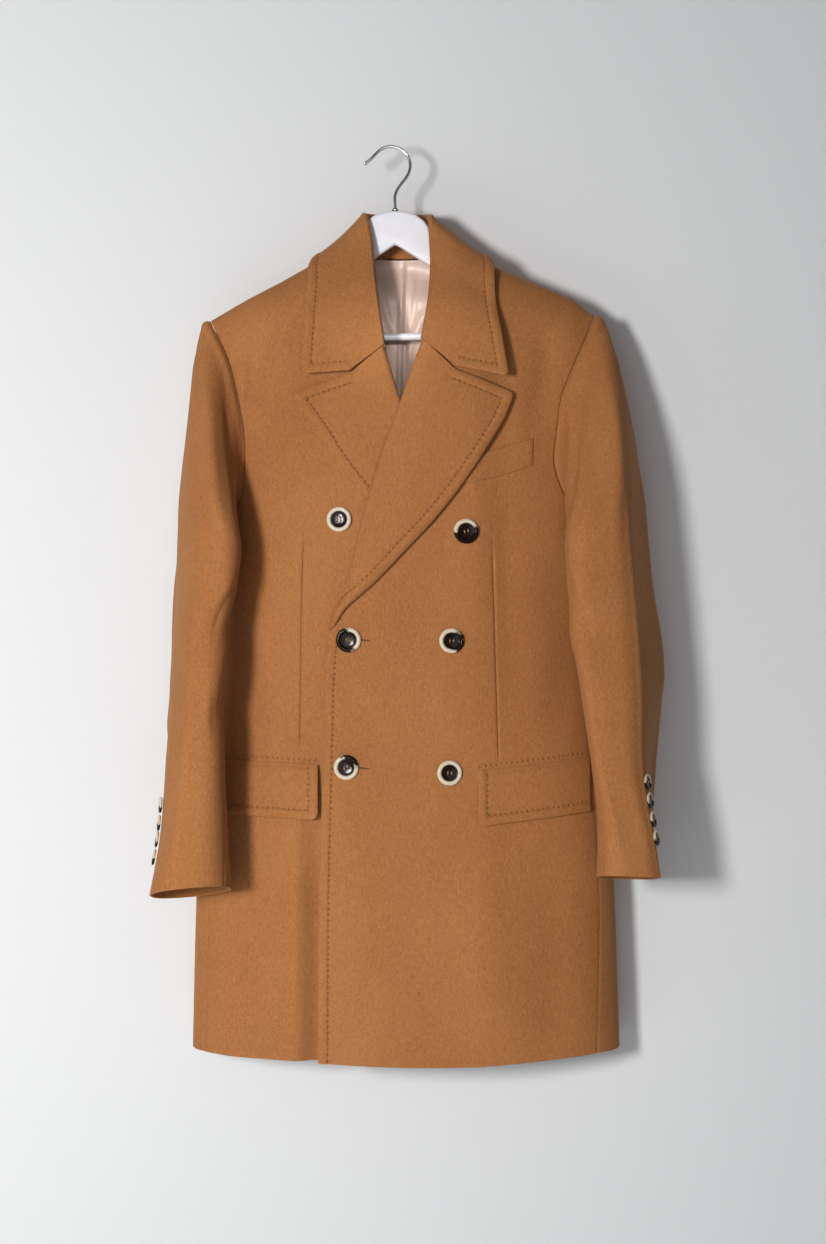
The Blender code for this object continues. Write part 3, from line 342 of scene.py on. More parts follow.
def crowded(count, near, power):
    """Shares 0 to 1 that crowd towards 0, 1 or both, where an edge needs fine cloth."""
    t = np.linspace(0.0, 1.0, count)
    if near == "both":
        return 0.5 + 0.5 * np.sign(t - 0.5) * (1.0 - (1.0 - np.abs(2.0 * t - 1.0)) ** power)
    return t**power if near == "start" else 1.0 - (1.0 - t) ** power


def seam_groove(distance, depth=0.0012, width=0.0022):
    """A pressed seam: how far it sinks at this distance from its line."""
    return -depth * np.exp(-((distance / width) ** 2))


sheets = {}
print("stitch groove", round(STITCH_LINE, 4), "m inside each edge")

# %% [markdown]
# ## The two fronts
# The wearer's left front laps over the right one. Each front is one sheet from its edge to the armhole and
# side seam. Above the break its edge is hidden behind the lapel's roll. Below it the edge is turned and
# stitched. A dart shapes each front: a seam with no width, which shows as a fine pinched line.

# %% The fronts' sizes
CLOTH, TURNED = 0.0024, 0.0030  # walls of a single and of a turned, faced cloth
OVERLAP_LIFT, OVERLAP_LIFT_LOW, BREAK_Z = 0.0086, 0.0036, -0.550
OVERLAP_END, OVERLAP_EASE = 0.135, 0.045
BREAK_EASE, NECK_END, NECK_EASE = 0.040, -0.215, 0.060
TUCK_DEPTH, TUCK_WIDTH, TUCK_END = 0.0165, 0.031, -0.083
TUCK_Z, TUCK_EASE, UNDERLAP_GAP = -0.640, 0.260, 0.0004
DART_FULL, DART_FULL_WIDTH = 0.0010, 0.014
DART_PINCH, DART_PINCH_WIDTH = 0.0021, 0.0013
PIT_LEVEL, TURN_PER_LEVEL = 6.0, 30.0  # the level at the armpit, and degrees of armhole a level
EDGE_LEVEL = 7.9  # the break: below it the front edge is turned and stitched
EDGE_TURN = 0.0030  # cloth taken in where the edge turns
Armhole = namedtuple("Armhole", "turn x z")
ARMHOLE = {
    "right": [
        Armhole(0.0, -0.2129, -0.2040),
        Armhole(30.0, -0.2015, -0.2260),
        Armhole(60.0, -0.1860, -0.2640),
        Armhole(90.0, -0.1735, -0.3230),
        Armhole(120.0, -0.1715, -0.3800),
        Armhole(150.0, -0.1800, -0.4190),
        Armhole(180.0, -0.1940, -0.4370),
        Armhole(210.0, -0.1975, -0.4230),
        Armhole(240.0, -0.1965, -0.3850),
        Armhole(270.0, -0.1960, -0.3250),
        Armhole(300.0, -0.1990, -0.2640),
        Armhole(330.0, -0.2060, -0.2250),
        Armhole(360.0, -0.2129, -0.2040),
    ],
    "left": [
        Armhole(0.0, 0.2343, -0.1980),
        Armhole(30.0, 0.2250, -0.2190),
        Armhole(60.0, 0.2090, -0.2550),
        Armhole(90.0, 0.1915, -0.3060),
        Armhole(120.0, 0.1850, -0.3600),
        Armhole(150.0, 0.1980, -0.4080),
        Armhole(180.0, 0.2235, -0.4360),
        Armhole(210.0, 0.2268, -0.4220),
        Armhole(240.0, 0.2240, -0.3750),
        Armhole(270.0, 0.2230, -0.3160),
        Armhole(300.0, 0.2240, -0.2560),
        Armhole(330.0, 0.2290, -0.2170),
        Armhole(360.0, 0.2343, -0.1980),
    ],
}
SideSeam = namedtuple("SideSeam", "level z right left")
SIDE_SEAM = [
    SideSeam(6.0, -0.4370, -0.1940, 0.2235),
    SideSeam(7.0, -0.4900, -0.1950, 0.2190),
    SideSeam(8.0, -0.5500, -0.1960, 0.2190),
    SideSeam(9.0, -0.6200, -0.1990, 0.2220),
    SideSeam(10.0, -0.7100, -0.2050, 0.2280),
    SideSeam(11.0, -0.8000, -0.2105, 0.2350),
    SideSeam(12.0, -0.8900, -0.2135, 0.2385),
    SideSeam(13.0, -0.9800, -0.2165, 0.2370),
    SideSeam(14.0, -1.0540, -0.2185, 0.2345),
]
EdgePoint = namedtuple("EdgePoint", "level x z")
FRONT_EDGE = {  # neck point, neckline, roll line to the break, then the front edge
    "right": [
        EdgePoint(0.0, -0.0520, -0.1140),
        EdgePoint(1.0, -0.0470, -0.1480),
        EdgePoint(2.0, -0.0360, -0.1900),
        EdgePoint(3.0, -0.0180, -0.2400),
        EdgePoint(4.0, 0.0070, -0.3020),
        EdgePoint(5.0, 0.0270, -0.3600),
        EdgePoint(6.0, 0.0430, -0.4100),
        EdgePoint(7.0, 0.0640, -0.4800),
        EdgePoint(8.0, 0.0800, -0.5500),
        EdgePoint(10.0, 0.0820, -0.7100),
        EdgePoint(14.0, 0.0780, -1.0562),
    ],
    "left": [
        EdgePoint(0.0, 0.0660, -0.1190),
        EdgePoint(1.0, 0.0620, -0.1480),
        EdgePoint(2.0, 0.0540, -0.1880),
        EdgePoint(3.0, 0.0390, -0.2330),
        EdgePoint(4.0, 0.0120, -0.3060),
        EdgePoint(5.0, -0.0090, -0.3620),
        EdgePoint(6.0, -0.0240, -0.4120),
        EdgePoint(7.0, -0.0440, -0.4800),
        EdgePoint(8.0, -0.0700, -0.5520),
        EdgePoint(9.0, -0.0772, -0.6200),
        EdgePoint(10.0, -0.0792, -0.7100),
        EdgePoint(11.0, -0.0818, -0.8000),
        EdgePoint(12.0, -0.0834, -0.8900),
        EdgePoint(14.0, -0.0843, -1.0580),
    ],
}
HEM_BOW = {"right": 0.0026, "left": 0.0060}
Flap = namedtuple("Flap", "side inner_x outer_x top_inner top_outer drop")
FLAPS = [
    Flap("right", -0.0862, -0.1990, -0.7190, -0.7140, 0.0620),
    Flap("left", 0.0980, 0.2280, -0.7260, -0.7120, 0.0620),
]
Dart = namedtuple("Dart", "side x z mid_x mid_z to_x to_z")
DARTS = [
    Dart("right", -0.1010, -0.4280, -0.1045, -0.5180, -0.1070, -0.7030),
    Dart("left", 0.1130, -0.4480, 0.1190, -0.6450, 0.1210, -0.7160),
]
print(len(ARMHOLE["left"]), "points round each armhole,", len(SIDE_SEAM), "down each side seam")


# %% Overlap, underlap and darts
def overlap_lift(x, z):
    """How far the overlap stands in front of the body's form, over the underlap."""
    over = smooth_step((OVERLAP_END - x) / OVERLAP_EASE)
    high = smooth_step((z - BREAK_Z) / BREAK_EASE + 0.5)
    neck = smooth_step((z - NECK_END) / NECK_EASE)
    return over * (OVERLAP_LIFT_LOW + (OVERLAP_LIFT - OVERLAP_LIFT_LOW) * high) * (1.0 - neck)


def tuck_lift(x, z):
    """The underlap turns in towards the overlap's edge, more and more down the skirt."""
    low = smooth_step((TUCK_Z - z) / TUCK_EASE)
    return -UNDERLAP_GAP - TUCK_DEPTH * low * smooth_step((x + TUCK_WIDTH - TUCK_END) / TUCK_WIDTH)


def armhole_turn(side, turn):
    """(angle round the body, z) at this many degrees round the armhole from its top."""
    rows = ARMHOLE[side]
    turns, z = [row.turn for row in rows], [row.z for row in rows]
    angles = [float(girth_angle(row.x, row.z, behind=row.turn > 180.0)) for row in rows]
    return flow(turns, angles, turn), flow(turns, z, turn)


def dart_height(side, x, z):
    """A fine pinched line down each dart, with the cloth a little full beside it."""
    height = np.zeros(np.shape(x))
    for dart in (found for found in DARTS if found.side == side):
        line = flow([-dart.z, -dart.mid_z, -dart.to_z], [dart.x, dart.mid_x, dart.to_x], -z)
        ends = smooth_step((dart.z + 0.004 - z) / 0.05) * smooth_step((z - dart.to_z + 0.004) / 0.02)
        away = np.abs(x - line)
        full = DART_FULL * np.exp(-((away / DART_FULL_WIDTH) ** 2))
        height += ends * (full - DART_PINCH * np.exp(-((away / DART_PINCH_WIDTH) ** 2)))
    return height


print("overlap stands", overlap_lift(0.0, -0.5).round(4), "m off the chest")


# %% Lay the fronts
def front_grid(side, u, level):
    """Points of one front: u from its edge to the side, level from the shoulder to the hem."""
    sign = SIDE[side]
    inner_x = read(FRONT_EDGE[side], "level", level, "x")
    inner_z = read(FRONT_EDGE[side], "level", level, "z")
    inner_x = inner_x + sign * EDGE_TURN * smooth_step((8.0 - level) / 0.8)
    angle, hole_z = armhole_turn(side, np.minimum(level, PIT_LEVEL) * TURN_PER_LEVEL)
    hole_x = girth_point(sign, angle, hole_z)[..., 0]
    low = level > PIT_LEVEL
    outer_x = np.where(low, read(SIDE_SEAM, "level", level, side), hole_x)
    outer_z = np.where(low, read(SIDE_SEAM, "level", level, "z"), hole_z)
    x = inner_x + (outer_x - inner_x) * u
    z = inner_z + (outer_z - inner_z) * u
    first, tip = FRONT_EDGE[side][0], ARMHOLE[side][0]
    seam_x = first.x + (tip.x - first.x) * u
    rise = np.interp(seam_x, SHOULDER_X, SHOULDER_Z) - (first.z + (tip.z - first.z) * u)
    z = z + rise * np.clip(1.0 - level / 3.0, 0.0, 1.0) ** 1.5
    z = z - HEM_BOW[side] * np.sin(np.pi * u) * smooth_step(level - 13.0)
    lift = overlap_lift(x, z) if side == "left" else tuck_lift(x, z)
    return front_point(x, z, lift + dart_height(side, x, z))


LEVEL_STOPS = [0.0, 0.05, 0.2, 0.5, 1.0, 2.0, 3.0, 4.0, 5.0, 6.0, 7.0, 8.0, 9.0, 10.0, 11.0, 12.0, 13.0, 14.0]
LEVEL_COUNTS = [4, 5, 6, 7, 12, 13, 14, 14, 12, 12, 15, 16, 17, 17, 17, 17, 20]
COLUMN_STOPS = (0.0, 0.060, 0.562, 0.680, 1.0)  # close at the edge, and at the dart's fine pinch
COLUMN_COUNTS = (17, 35, 46, 21)
HEM_RISE, HEM_WIDTH = 0.0010, 0.010
FLAP_STITCH_RISE = 0.0048  # from the flap's seam up to the row of stitches over it
levels = stretches(LEVEL_STOPS, LEVEL_COUNTS)[::-1]
for side in ("right", "left"):
    u, level = np.meshgrid(stretches(COLUMN_STOPS, COLUMN_COUNTS), levels)
    grid = front_grid(side, u, level)
    below = smooth_step((level[:, 0] - EDGE_LEVEL) / 0.6)
    grid[..., 1] -= rolled_edge(away_from(grid, grid[:, :1])) * below[:, None]
    hem = away_from(grid, grid[:1])
    grid[..., 1] -= HEM_RISE * np.sin(np.clip(hem / HEM_WIDTH, 0, 1) * np.pi)
    flap = next(found for found in FLAPS if found.side == side)
    share = np.linspace(0.0, 1.0, 60)
    across = np.linspace(flap.inner_x, flap.outer_x, 60)
    above = flap.top_inner + (flap.top_outer - flap.top_inner) * share - FLAP_STITCH_RISE
    flap_line = front_point(across, above, overlap_lift(across, above) if side == "left" else 0.0)
    lines = [grid[level[:, 0] > EDGE_LEVEL, 0], flap_line]
    sheets[f"front_{side}"] = lay_sheet(f"front_{side}_cloth", grid, CLOTH, lines, relief=False)

# %% [markdown]
# ## The two backs
# The back is cut in two with a seam down its middle, and each half wraps round the side fold to a side seam
# on the front face. The seam lines are pressed open, so they show as a shallow groove and not as a ridge.

# %% The backs
NAPE_X, NAPE_Z = 0.011, -0.13
CENTRE_LEVELS = [0.0, 3.0, *(row.level for row in SIDE_SEAM)]
CENTRE_Z = [NAPE_Z, -0.25, -0.41, *(row.z for row in SIDE_SEAM[1:])]
BACK_COLUMNS = 84


def back_grid(side, u, level):
    """Points of one back: u from the centre seam round to the side seam."""
    sign = SIDE[side]
    centre_z = flow(CENTRE_LEVELS, CENTRE_Z, level)
    hole_angle, hole_z = armhole_turn(side, 360.0 - np.minimum(level, PIT_LEVEL) * TURN_PER_LEVEL)
    tip = ARMHOLE[side][0]
    hole_angle = np.where(level < 1e-6, 180.0 - girth_angle(tip.x, tip.z), hole_angle)
    low = level > PIT_LEVEL
    seam_z = read(SIDE_SEAM, "level", level, "z")
    outer_z = np.where(low, seam_z, hole_z)
    angle = np.where(low, girth_angle(read(SIDE_SEAM, "level", level, side), seam_z), hole_angle)
    turned = 180.0 + (angle - 180.0) * u
    z = centre_z + (outer_z - centre_z) * u
    neck = FRONT_EDGE[side][0]
    share = u * (tip.x - NAPE_X) / (neck.x - NAPE_X)
    seam_x = NAPE_X + (tip.x - NAPE_X) * u
    neckline = NAPE_Z + (neck.z - NAPE_Z) * share
    shoulder = np.where(share < 1.0, neckline, np.interp(seam_x, SHOULDER_X, SHOULDER_Z))
    fade = np.clip(1.0 - level / 3.0, 0.0, 1.0)
    z = z + (shoulder - (NAPE_Z + (tip.z - NAPE_Z) * u)) * fade
    middle = (read(BODY, "z", z, "left") + read(BODY, "z", z, "right")) / 2.0
    row_x = middle + (girth_point(sign, angle, outer_z)[..., 0] - middle) * u
    turned = turned + (girth_angle(row_x, z, behind=True) - turned) * fade
    points = girth_point(sign, turned, z)
    behind = smooth_step((turned - 75.0) / 40.0)
    fall = shoulder_fall(points[..., 0], z)
    points[..., 1] += crease_height(BACK_CREASES, points[..., 0], z) * behind * fall
    points[..., 1] -= crease_height(FRONT_CREASES, points[..., 0], z) * (1.0 - behind) * fall
    return points


for side in ("right", "left"):
    u, level = np.meshgrid(crowded(BACK_COLUMNS, "both", 1.5), levels)
    grid = back_grid(side, u, level)
    grid[..., 1] += seam_groove(away_from(grid, grid[:, :1]))
    low = smooth_step((level - PIT_LEVEL) / 0.5)
    grid[..., 1] -= seam_groove(away_from(grid, grid[:, -1:])) * low
    name = f"back_{side}"
    sheets[name] = lay_sheet(f"{name}_cloth", grid, CLOTH, outward=(0.0, 1.0, 0.0), bevel=0.0003)

# %% [markdown]
# ## The sleeves
# A tailored sleeve is a curved tube in two pieces, set into the armhole with a little fullness, so its head
# stands proud of the shoulder seam. It swings forward like a hanging arm. The tube is drawn as rings down the
# arm, and the cap is a smooth bridge from the armhole to the first ring.

# %% The sleeves' sizes
SleeveRow = namedtuple("SleeveRow", "z outer inner front back skew rise pitch")
SLEEVE = {  # skew swings the back outwards, rise lifts the outer side, pitch the front
    "right": [
        SleeveRow(-0.450, -0.2475, -0.1735, -0.121, 0.015, 0.022, 0.034, 0.000),
        SleeveRow(-0.507, -0.2527, -0.1770, -0.127, 0.008, 0.022, 0.008, 0.000),
        SleeveRow(-0.571, -0.2560, -0.1890, -0.128, 0.004, 0.016, 0.000, 0.000),
        SleeveRow(-0.650, -0.2565, -0.1907, -0.134, -0.006, 0.012, 0.000, 0.002),
        SleeveRow(-0.716, -0.2600, -0.1888, -0.140, -0.014, 0.010, 0.000, 0.004),
        SleeveRow(-0.790, -0.2632, -0.1857, -0.146, -0.026, 0.006, 0.000, 0.006),
        SleeveRow(-0.8600, -0.2720, -0.1830, -0.150, -0.042, 0.000, -0.0045, 0.011),
    ],
    "left": [
        SleeveRow(-0.446, 0.2937, 0.1950, -0.122, 0.014, 0.0236, 0.030, 0.000),
        SleeveRow(-0.510, 0.3000, 0.1975, -0.128, 0.008, 0.0236, 0.008, 0.000),
        SleeveRow(-0.571, 0.3075, 0.2030, -0.128, 0.004, 0.0250, 0.000, 0.000),
        SleeveRow(-0.633, 0.3098, 0.2120, -0.132, -0.004, 0.0246, 0.000, 0.002),
        SleeveRow(-0.716, 0.3025, 0.2236, -0.138, -0.014, 0.0190, 0.000, 0.004),
        SleeveRow(-0.783, 0.2983, 0.2300, -0.144, -0.026, 0.0083, 0.000, 0.006),
        SleeveRow(-0.8435, 0.2990, 0.2310, -0.148, -0.040, 0.0000, -0.002, 0.0075),
    ],
}
CAP_ROWS = 4.0
CUFF_ROW = CAP_ROWS + len(SLEEVE["right"]) - 1.0
FRONT_SEAM, BACK_SEAM, BACK_SEAM_SWING = 150.0, -60.0, 46.0
HEAD_FULLNESS, HEAD_SWING, HEAD_GAP = 0.46, 0.16, 0.0015
HEAD_ROLL, HEAD_PLACE, HEAD_WIDTH = 0.0032, 0.34, 0.22  # the head's roll, its row and its spread
SleeveCrease = namedtuple("SleeveCrease", "turn level to_turn to_level bow width depth")
SLEEVE_CREASES = {  # places are degrees round the sleeve, and rows down it times 30
    "right": [
        SleeveCrease(70.0, 20.0, 130.0, 105.0, 4.0, 10.0, -0.0035),
        SleeveCrease(40.0, 40.0, 96.0, 130.0, -5.0, 13.0, 0.0030),
        SleeveCrease(20.0, 96.0, 84.0, 142.0, 4.0, 10.0, -0.0030),
        SleeveCrease(150.0, 150.0, 96.0, 178.0, -5.0, 9.0, -0.0036),
        SleeveCrease(160.0, 176.0, 84.0, 200.0, 5.0, 11.0, 0.0032),
        SleeveCrease(150.0, 205.0, 104.0, 214.0, 4.0, 9.0, -0.0026),
        SleeveCrease(30.0, 176.0, 50.0, 262.0, 6.0, 14.0, -0.0026),
        SleeveCrease(74.0, 216.0, 68.0, 290.0, -4.0, 12.0, 0.0020),
        SleeveCrease(-40.0, 130.0, -10.0, 190.0, 5.0, 14.0, -0.0040),
        SleeveCrease(-60.0, 190.0, -20.0, 222.0, -6.0, 12.0, 0.0034),
        SleeveCrease(-110.0, 140.0, -70.0, 200.0, 6.0, 14.0, -0.0036),
        SleeveCrease(-150.0, 180.0, -110.0, 212.0, 6.0, 12.0, -0.0030),
    ],
    "left": [
        SleeveCrease(64.0, 18.0, 128.0, 92.0, 4.0, 9.0, -0.0040),
        SleeveCrease(80.0, 10.0, 150.0, 76.0, -5.0, 9.0, 0.0030),
        SleeveCrease(52.0, 40.0, 118.0, 128.0, 6.0, 12.0, -0.0030),
        SleeveCrease(30.0, 60.0, 78.0, 132.0, -5.0, 12.0, 0.0026),
        SleeveCrease(150.0, 148.0, 92.0, 184.0, -5.0, 10.0, -0.0030),
        SleeveCrease(156.0, 170.0, 100.0, 196.0, 5.0, 10.0, 0.0028),
        SleeveCrease(100.0, 200.0, 84.0, 286.0, 6.0, 12.0, -0.0022),
        SleeveCrease(-20.0, 90.0, 10.0, 180.0, 6.0, 16.0, -0.0046),
        SleeveCrease(-44.0, 150.0, -6.0, 214.0, -6.0, 14.0, 0.0040),
        SleeveCrease(-70.0, 110.0, -40.0, 190.0, 5.0, 14.0, -0.0040),
        SleeveCrease(-20.0, 210.0, 4.0, 280.0, 5.0, 12.0, -0.0030),
        SleeveCrease(-140.0, 180.0, -90.0, 216.0, 6.0, 12.0, -0.0030),
    ],
}
CORNER_TURN = {"right": 62.0, "left": 42.0}
CORNER_SPREAD = {"right": 13.0, "left": 7.0}
CORNER_STAND = {"right": 0.0012, "left": 0.0018}
SLEEVE_LEAN = {"right": 0.0, "left": 0.22}  # the outer side hangs this much further back
SQUARENESS = 2.4
FOLD_SQUARENESS = {"right": 2.4, "left": 5.0}  # of the quarter between outer side and front
SLEEVE_COLUMNS, CAP_LINES, ARM_LINES = 66, 73, 129
print({side: len(rows) for side, rows in SLEEVE_CREASES.items()}, "folds in the sleeves")


# %% Rings down the arm
def signed_power(value, power):
    return np.sign(value) * np.abs(value) ** power


def sleeve_ring(side, row, turn):
    """Points of sleeve rings: turn 0 outer, 90 front, 180 inner, 270 back."""
    sign = SIDE[side]
    across, forward = np.cos(np.radians(turn)), np.sin(np.radians(turn))
    square = np.where((across > 0.0) & (forward > 0.0), FOLD_SQUARENESS[side], SQUARENESS)
    across, forward = signed_power(across, 2.0 / square), signed_power(forward, 2.0 / square)
    middle = (row["outer"] + row["inner"]) / 2.0
    half = np.abs(row["outer"] - row["inner"]) / 2.0 - np.abs(row["skew"]) * 0.35
    x = middle + sign * (half * across - row["skew"] * forward)
    y = (row["front"] + row["back"]) / 2.0 + (row["front"] - row["back"]) / 2.0 * forward
    y = y + SLEEVE_LEAN[side] * sign * (x - middle)
    return np.stack([x, y, row["z"] + row["rise"] * across + row["pitch"] * forward], axis=-1)


def sleeve_grid(side, turn, level):
    """level runs from 0 at the armhole, over the cap, down to the cuff."""
    sign = SIDE[side]
    first, second = rows_at(SLEEVE[side], 0.0 * level), rows_at(SLEEVE[side], 0.0 * level + 1.0)
    angle, z = armhole_turn(side, turn % 360.0)
    start = girth_point(sign, angle, z)
    swing = np.where(np.sin(np.radians(turn)) >= 0.0, 2.0, -2.0)
    onward = girth_point(sign, angle + swing, z) - start
    onward /= np.linalg.norm(onward, axis=-1)[..., None] + 1e-9
    up = np.cos(np.radians(turn))
    step = onward * np.abs(np.sin(np.radians(turn)))[..., None]
    step[..., 0] += sign * np.clip(up, 0.0, 1.0)
    step[..., 2] += np.clip(-up, 0.0, 1.0)
    start = start + step * (HEAD_GAP * (1.0 + 0.8 * np.clip(-up, 0.0, 1.0)))[..., None]
    end = sleeve_ring(side, first, turn)
    facing = np.stack([sign + 0.0 * turn, -0.55 * np.sin(np.radians(turn)), 0.15 * up], axis=-1)
    facing /= np.linalg.norm(facing, axis=-1)[..., None]
    span = np.linalg.norm(end - start, axis=-1)[..., None]
    leaving = facing * span * (HEAD_FULLNESS - HEAD_SWING * up)[..., None]
    arriving = sleeve_ring(side, second, turn) - end
    arriving *= span * 0.9 / np.linalg.norm(arriving, axis=-1)[..., None]
    t = np.clip(level / CAP_ROWS, 0.0, 1.0)[..., None]
    cap = start * (2 * t**3 - 3 * t**2 + 1) + leaving * (t**3 - 2 * t**2 + t)
    cap = cap + end * (3 * t**2 - 2 * t**3) + arriving * (t**3 - t**2)
    arm = sleeve_ring(side, rows_at(SLEEVE[side], np.clip(level - CAP_ROWS, 0.0, None)), turn)
    return np.where((level <= CAP_ROWS)[..., None], cap, arm)


print("right cuff ends at", sleeve_grid("right", np.array([0.0]), np.array([CUFF_ROW]))[0].round(3))


# %% Folds, and the two pieces of each sleeve
def sleeve_height(side, turn, level):
    """The sleeve's head roll, its folds and the pressed edge along its front."""
    turned = (turn + 180.0) % 360.0 - 180.0
    folds = [Crease(*row) for row in SLEEVE_CREASES[side]]
    height = crease_height(folds, turned, level * TURN_PER_LEVEL)
    wrapped = crease_height(folds, turned + 360.0, level * TURN_PER_LEVEL)
    top = np.clip(np.cos(np.radians(turn * 0.8)), 0.0, 1.0)
    head = HEAD_ROLL * top * np.exp(-(((level - HEAD_PLACE) / HEAD_WIDTH) ** 2))
    corner = CORNER_STAND[side] * np.exp(-(((turned - CORNER_TURN[side]) / CORNER_SPREAD[side]) ** 2))
    corner = corner * smooth_step((level - 2.5) / 3.0)
    ends = smooth_step((CUFF_ROW + 0.2 - level) / 0.8)
    return (height + wrapped) * smooth_step(level / 0.8) * ends + head + corner


def sleeve_sheet(side, under):
    """One of a sleeve's two pieces, between its front and back seams."""
    start, stop = (BACK_SEAM, FRONT_SEAM - 360.0) if under else (FRONT_SEAM, BACK_SEAM)
    rows = stretches((0.0, CAP_ROWS, CUFF_ROW), (CAP_LINES, ARM_LINES))
    u, level = np.meshgrid(crowded(SLEEVE_COLUMNS, "both", 1.35), rows[::-1])
    base = start + (stop - start) * u
    from_front = np.abs(base - (FRONT_SEAM - 360.0 if under else FRONT_SEAM))
    turn = base + BACK_SEAM_SWING * (level / CUFF_ROW) * from_front / abs(stop - start)
    grid = sleeve_grid(side, turn, level)
    normals = surface_normals(grid, (0.0, 0.0, 1.0))
    outward = np.sign((normals * (grid - sleeve_axis(side, level))).sum(axis=2).mean())
    height = sleeve_height(side, turn, level)
    seams = np.minimum(away_from(grid, grid[:, :1]), away_from(grid, grid[:, -1:]))
    height = height + seam_groove(seams, 0.0010, 0.0018) * smooth_step(level / 0.4)
    return grid + normals * (outward * height)[..., None]


def sleeve_axis(side, level):
    """The middle line of the sleeve, for telling out from in."""
    turns = np.linspace(0.0, 330.0, 12)
    rings = [sleeve_grid(side, turn + 0.0 * level, level) for turn in turns]
    return sum(rings) / len(rings)


for side in ("right", "left"):
    for label, under in (("top_sleeve", False), ("under_sleeve", True)):
        grid = sleeve_sheet(side, under)
        sheets[f"{label}_{side}"] = lay_sheet(f"{label}_{side}_cloth", grid, CLOTH, bevel=0.0006)

# %% [markdown]
# ## The lapels
# A lapel is the top of the front turned back on itself. It isn't pressed flat: it rolls over a soft fold
# that is fullest at the neck and tightest at the break, and its free edge stands a little off the chest. So
# each lapel starts behind the fold, goes round a half circle, and then lies forward as a crowned sheet.

# %% The lapels' sizes
LapelRow = namedtuple("LapelRow", "roll_x roll_z edge_x edge_z stand_off")
LAPEL = {  # from the top edge down to the break
    "right": [
        LapelRow(-0.0120, -0.2390, -0.1167, -0.2928, 0.0010),
        LapelRow(0.0080, -0.3020, -0.0900, -0.3280, 0.0010),
        LapelRow(0.0270, -0.3560, -0.0600, -0.3740, 0.0008),
        LapelRow(0.0430, -0.4100, -0.0275, -0.4155, 0.0004),
        LapelRow(0.0610, -0.4700, 0.0180, -0.4720, 0.0002),
        LapelRow(0.0780, -0.5360, 0.0680, -0.5340, 0.0000),
    ],
    "left": [
        LapelRow(0.0345, -0.2335, 0.1375, -0.2931, 0.0080),
        LapelRow(0.0210, -0.2700, 0.1277, -0.3182, 0.0080),
        LapelRow(0.0088, -0.3057, 0.1072, -0.3535, 0.0074),
        LapelRow(-0.0105, -0.3569, 0.0822, -0.3911, 0.0066),
        LapelRow(-0.0271, -0.4127, 0.0463, -0.4373, 0.0056),
        LapelRow(-0.0379, -0.4537, 0.0150, -0.4708, 0.0046),
        LapelRow(-0.0540, -0.5170, -0.0231, -0.5106, 0.0034),
        LapelRow(-0.0672, -0.5455, -0.0565, -0.5410, 0.0022),
        LapelRow(-0.0722, -0.5640, -0.0686, -0.5605, 0.0006),
    ],
}
LAPEL_GORGE = {"right": (-0.0458, -0.2690), "left": (0.0683, -0.2655)}
GORGE_SHARE = 0.35
LAPEL_GAP = 0.0036
LAPEL_CROWN = {"right": 0.0016, "left": 0.0070}  # the belly of the roll, half way down
FOLD_TOP, FOLD_BREAK, TIP_ROUND = 0.0042, 0.0018, 0.0070
LAPEL_WIDTH, LAPEL_LENGTH = 0.115, 0.33
FOLD_COLUMNS, LAPEL_COLUMNS, LAPEL_LINES = 10, 74, 190
print({side: len(rows) for side, rows in LAPEL.items()}, "rows down the lapels")


# %% Roll and lay the lapels
def lapel_grid(side):
    """Rows from the top edge down to the break, columns over the fold and out to the free edge."""
    rows = LAPEL[side]
    flat, share = np.meshgrid(crowded(LAPEL_COLUMNS, "end", 1.3), crowded(LAPEL_LINES, "start", 1.3))
    from_edge, from_top = (1.0 - flat) * LAPEL_WIDTH, share * LAPEL_LENGTH
    edge_share, share = round_corner(from_edge, from_top, LAPEL_WIDTH, LAPEL_LENGTH, TIP_ROUND)
    flat = 1.0 - edge_share
    fold = np.linspace(-90.0, 90.0, FOLD_COLUMNS, endpoint=False)
    fold = np.broadcast_to(fold, (LAPEL_LINES, FOLD_COLUMNS))
    flat = np.concatenate([0.0 * fold, flat], axis=1)
    share = np.concatenate([np.broadcast_to(share[:, :1], fold.shape), share], axis=1)
    turn = np.concatenate([fold, np.full((LAPEL_LINES, LAPEL_COLUMNS), 90.0)], axis=1)
    place = share * (len(rows) - 1)
    value = rows_at(rows, place)
    back_x, back_z = value["roll_x"] - value["edge_x"], value["roll_z"] - value["edge_z"]
    width = np.hypot(back_x, back_z)
    back_x, back_z = back_x / width, back_z / width
    radius = FOLD_TOP + (FOLD_BREAK - FOLD_TOP) * smooth_step(share * 1.1)
    start_x, start_z = value["roll_x"] - back_x * radius, value["roll_z"] - back_z * radius
    x = start_x + (value["edge_x"] - start_x) * flat + back_x * radius * np.cos(np.radians(turn))
    z = start_z + (value["edge_z"] - start_z) * flat + back_z * radius * np.cos(np.radians(turn))
    top = np.clip(1.0 - place, 0.0, 1.0)
    notch = top * np.where(flat < GORGE_SHARE, flat / GORGE_SHARE, (1.0 - flat) / (1.0 - GORGE_SHARE))
    first = rows[0]
    x = x + notch * (LAPEL_GORGE[side][0] - (first.roll_x + (first.edge_x - first.roll_x) * GORGE_SHARE))
    z = z + notch * (LAPEL_GORGE[side][1] - (first.roll_z + (first.edge_z - first.roll_z) * GORGE_SHARE))
    lift = radius + radius * np.sin(np.radians(turn))
    lift = lift + (LAPEL_GAP - 2.0 * radius) * smooth_step(flat / 0.55) * (turn == 90.0)
    lift = lift + value["stand_off"] * smooth_step(flat)
    lift = lift + LAPEL_CROWN[side] * np.sin(np.pi * flat**0.8) * np.sin(np.pi * share)
    if side == "left":
        lift = lift + overlap_lift(x, z)
    return front_point(x, z, lift), flat


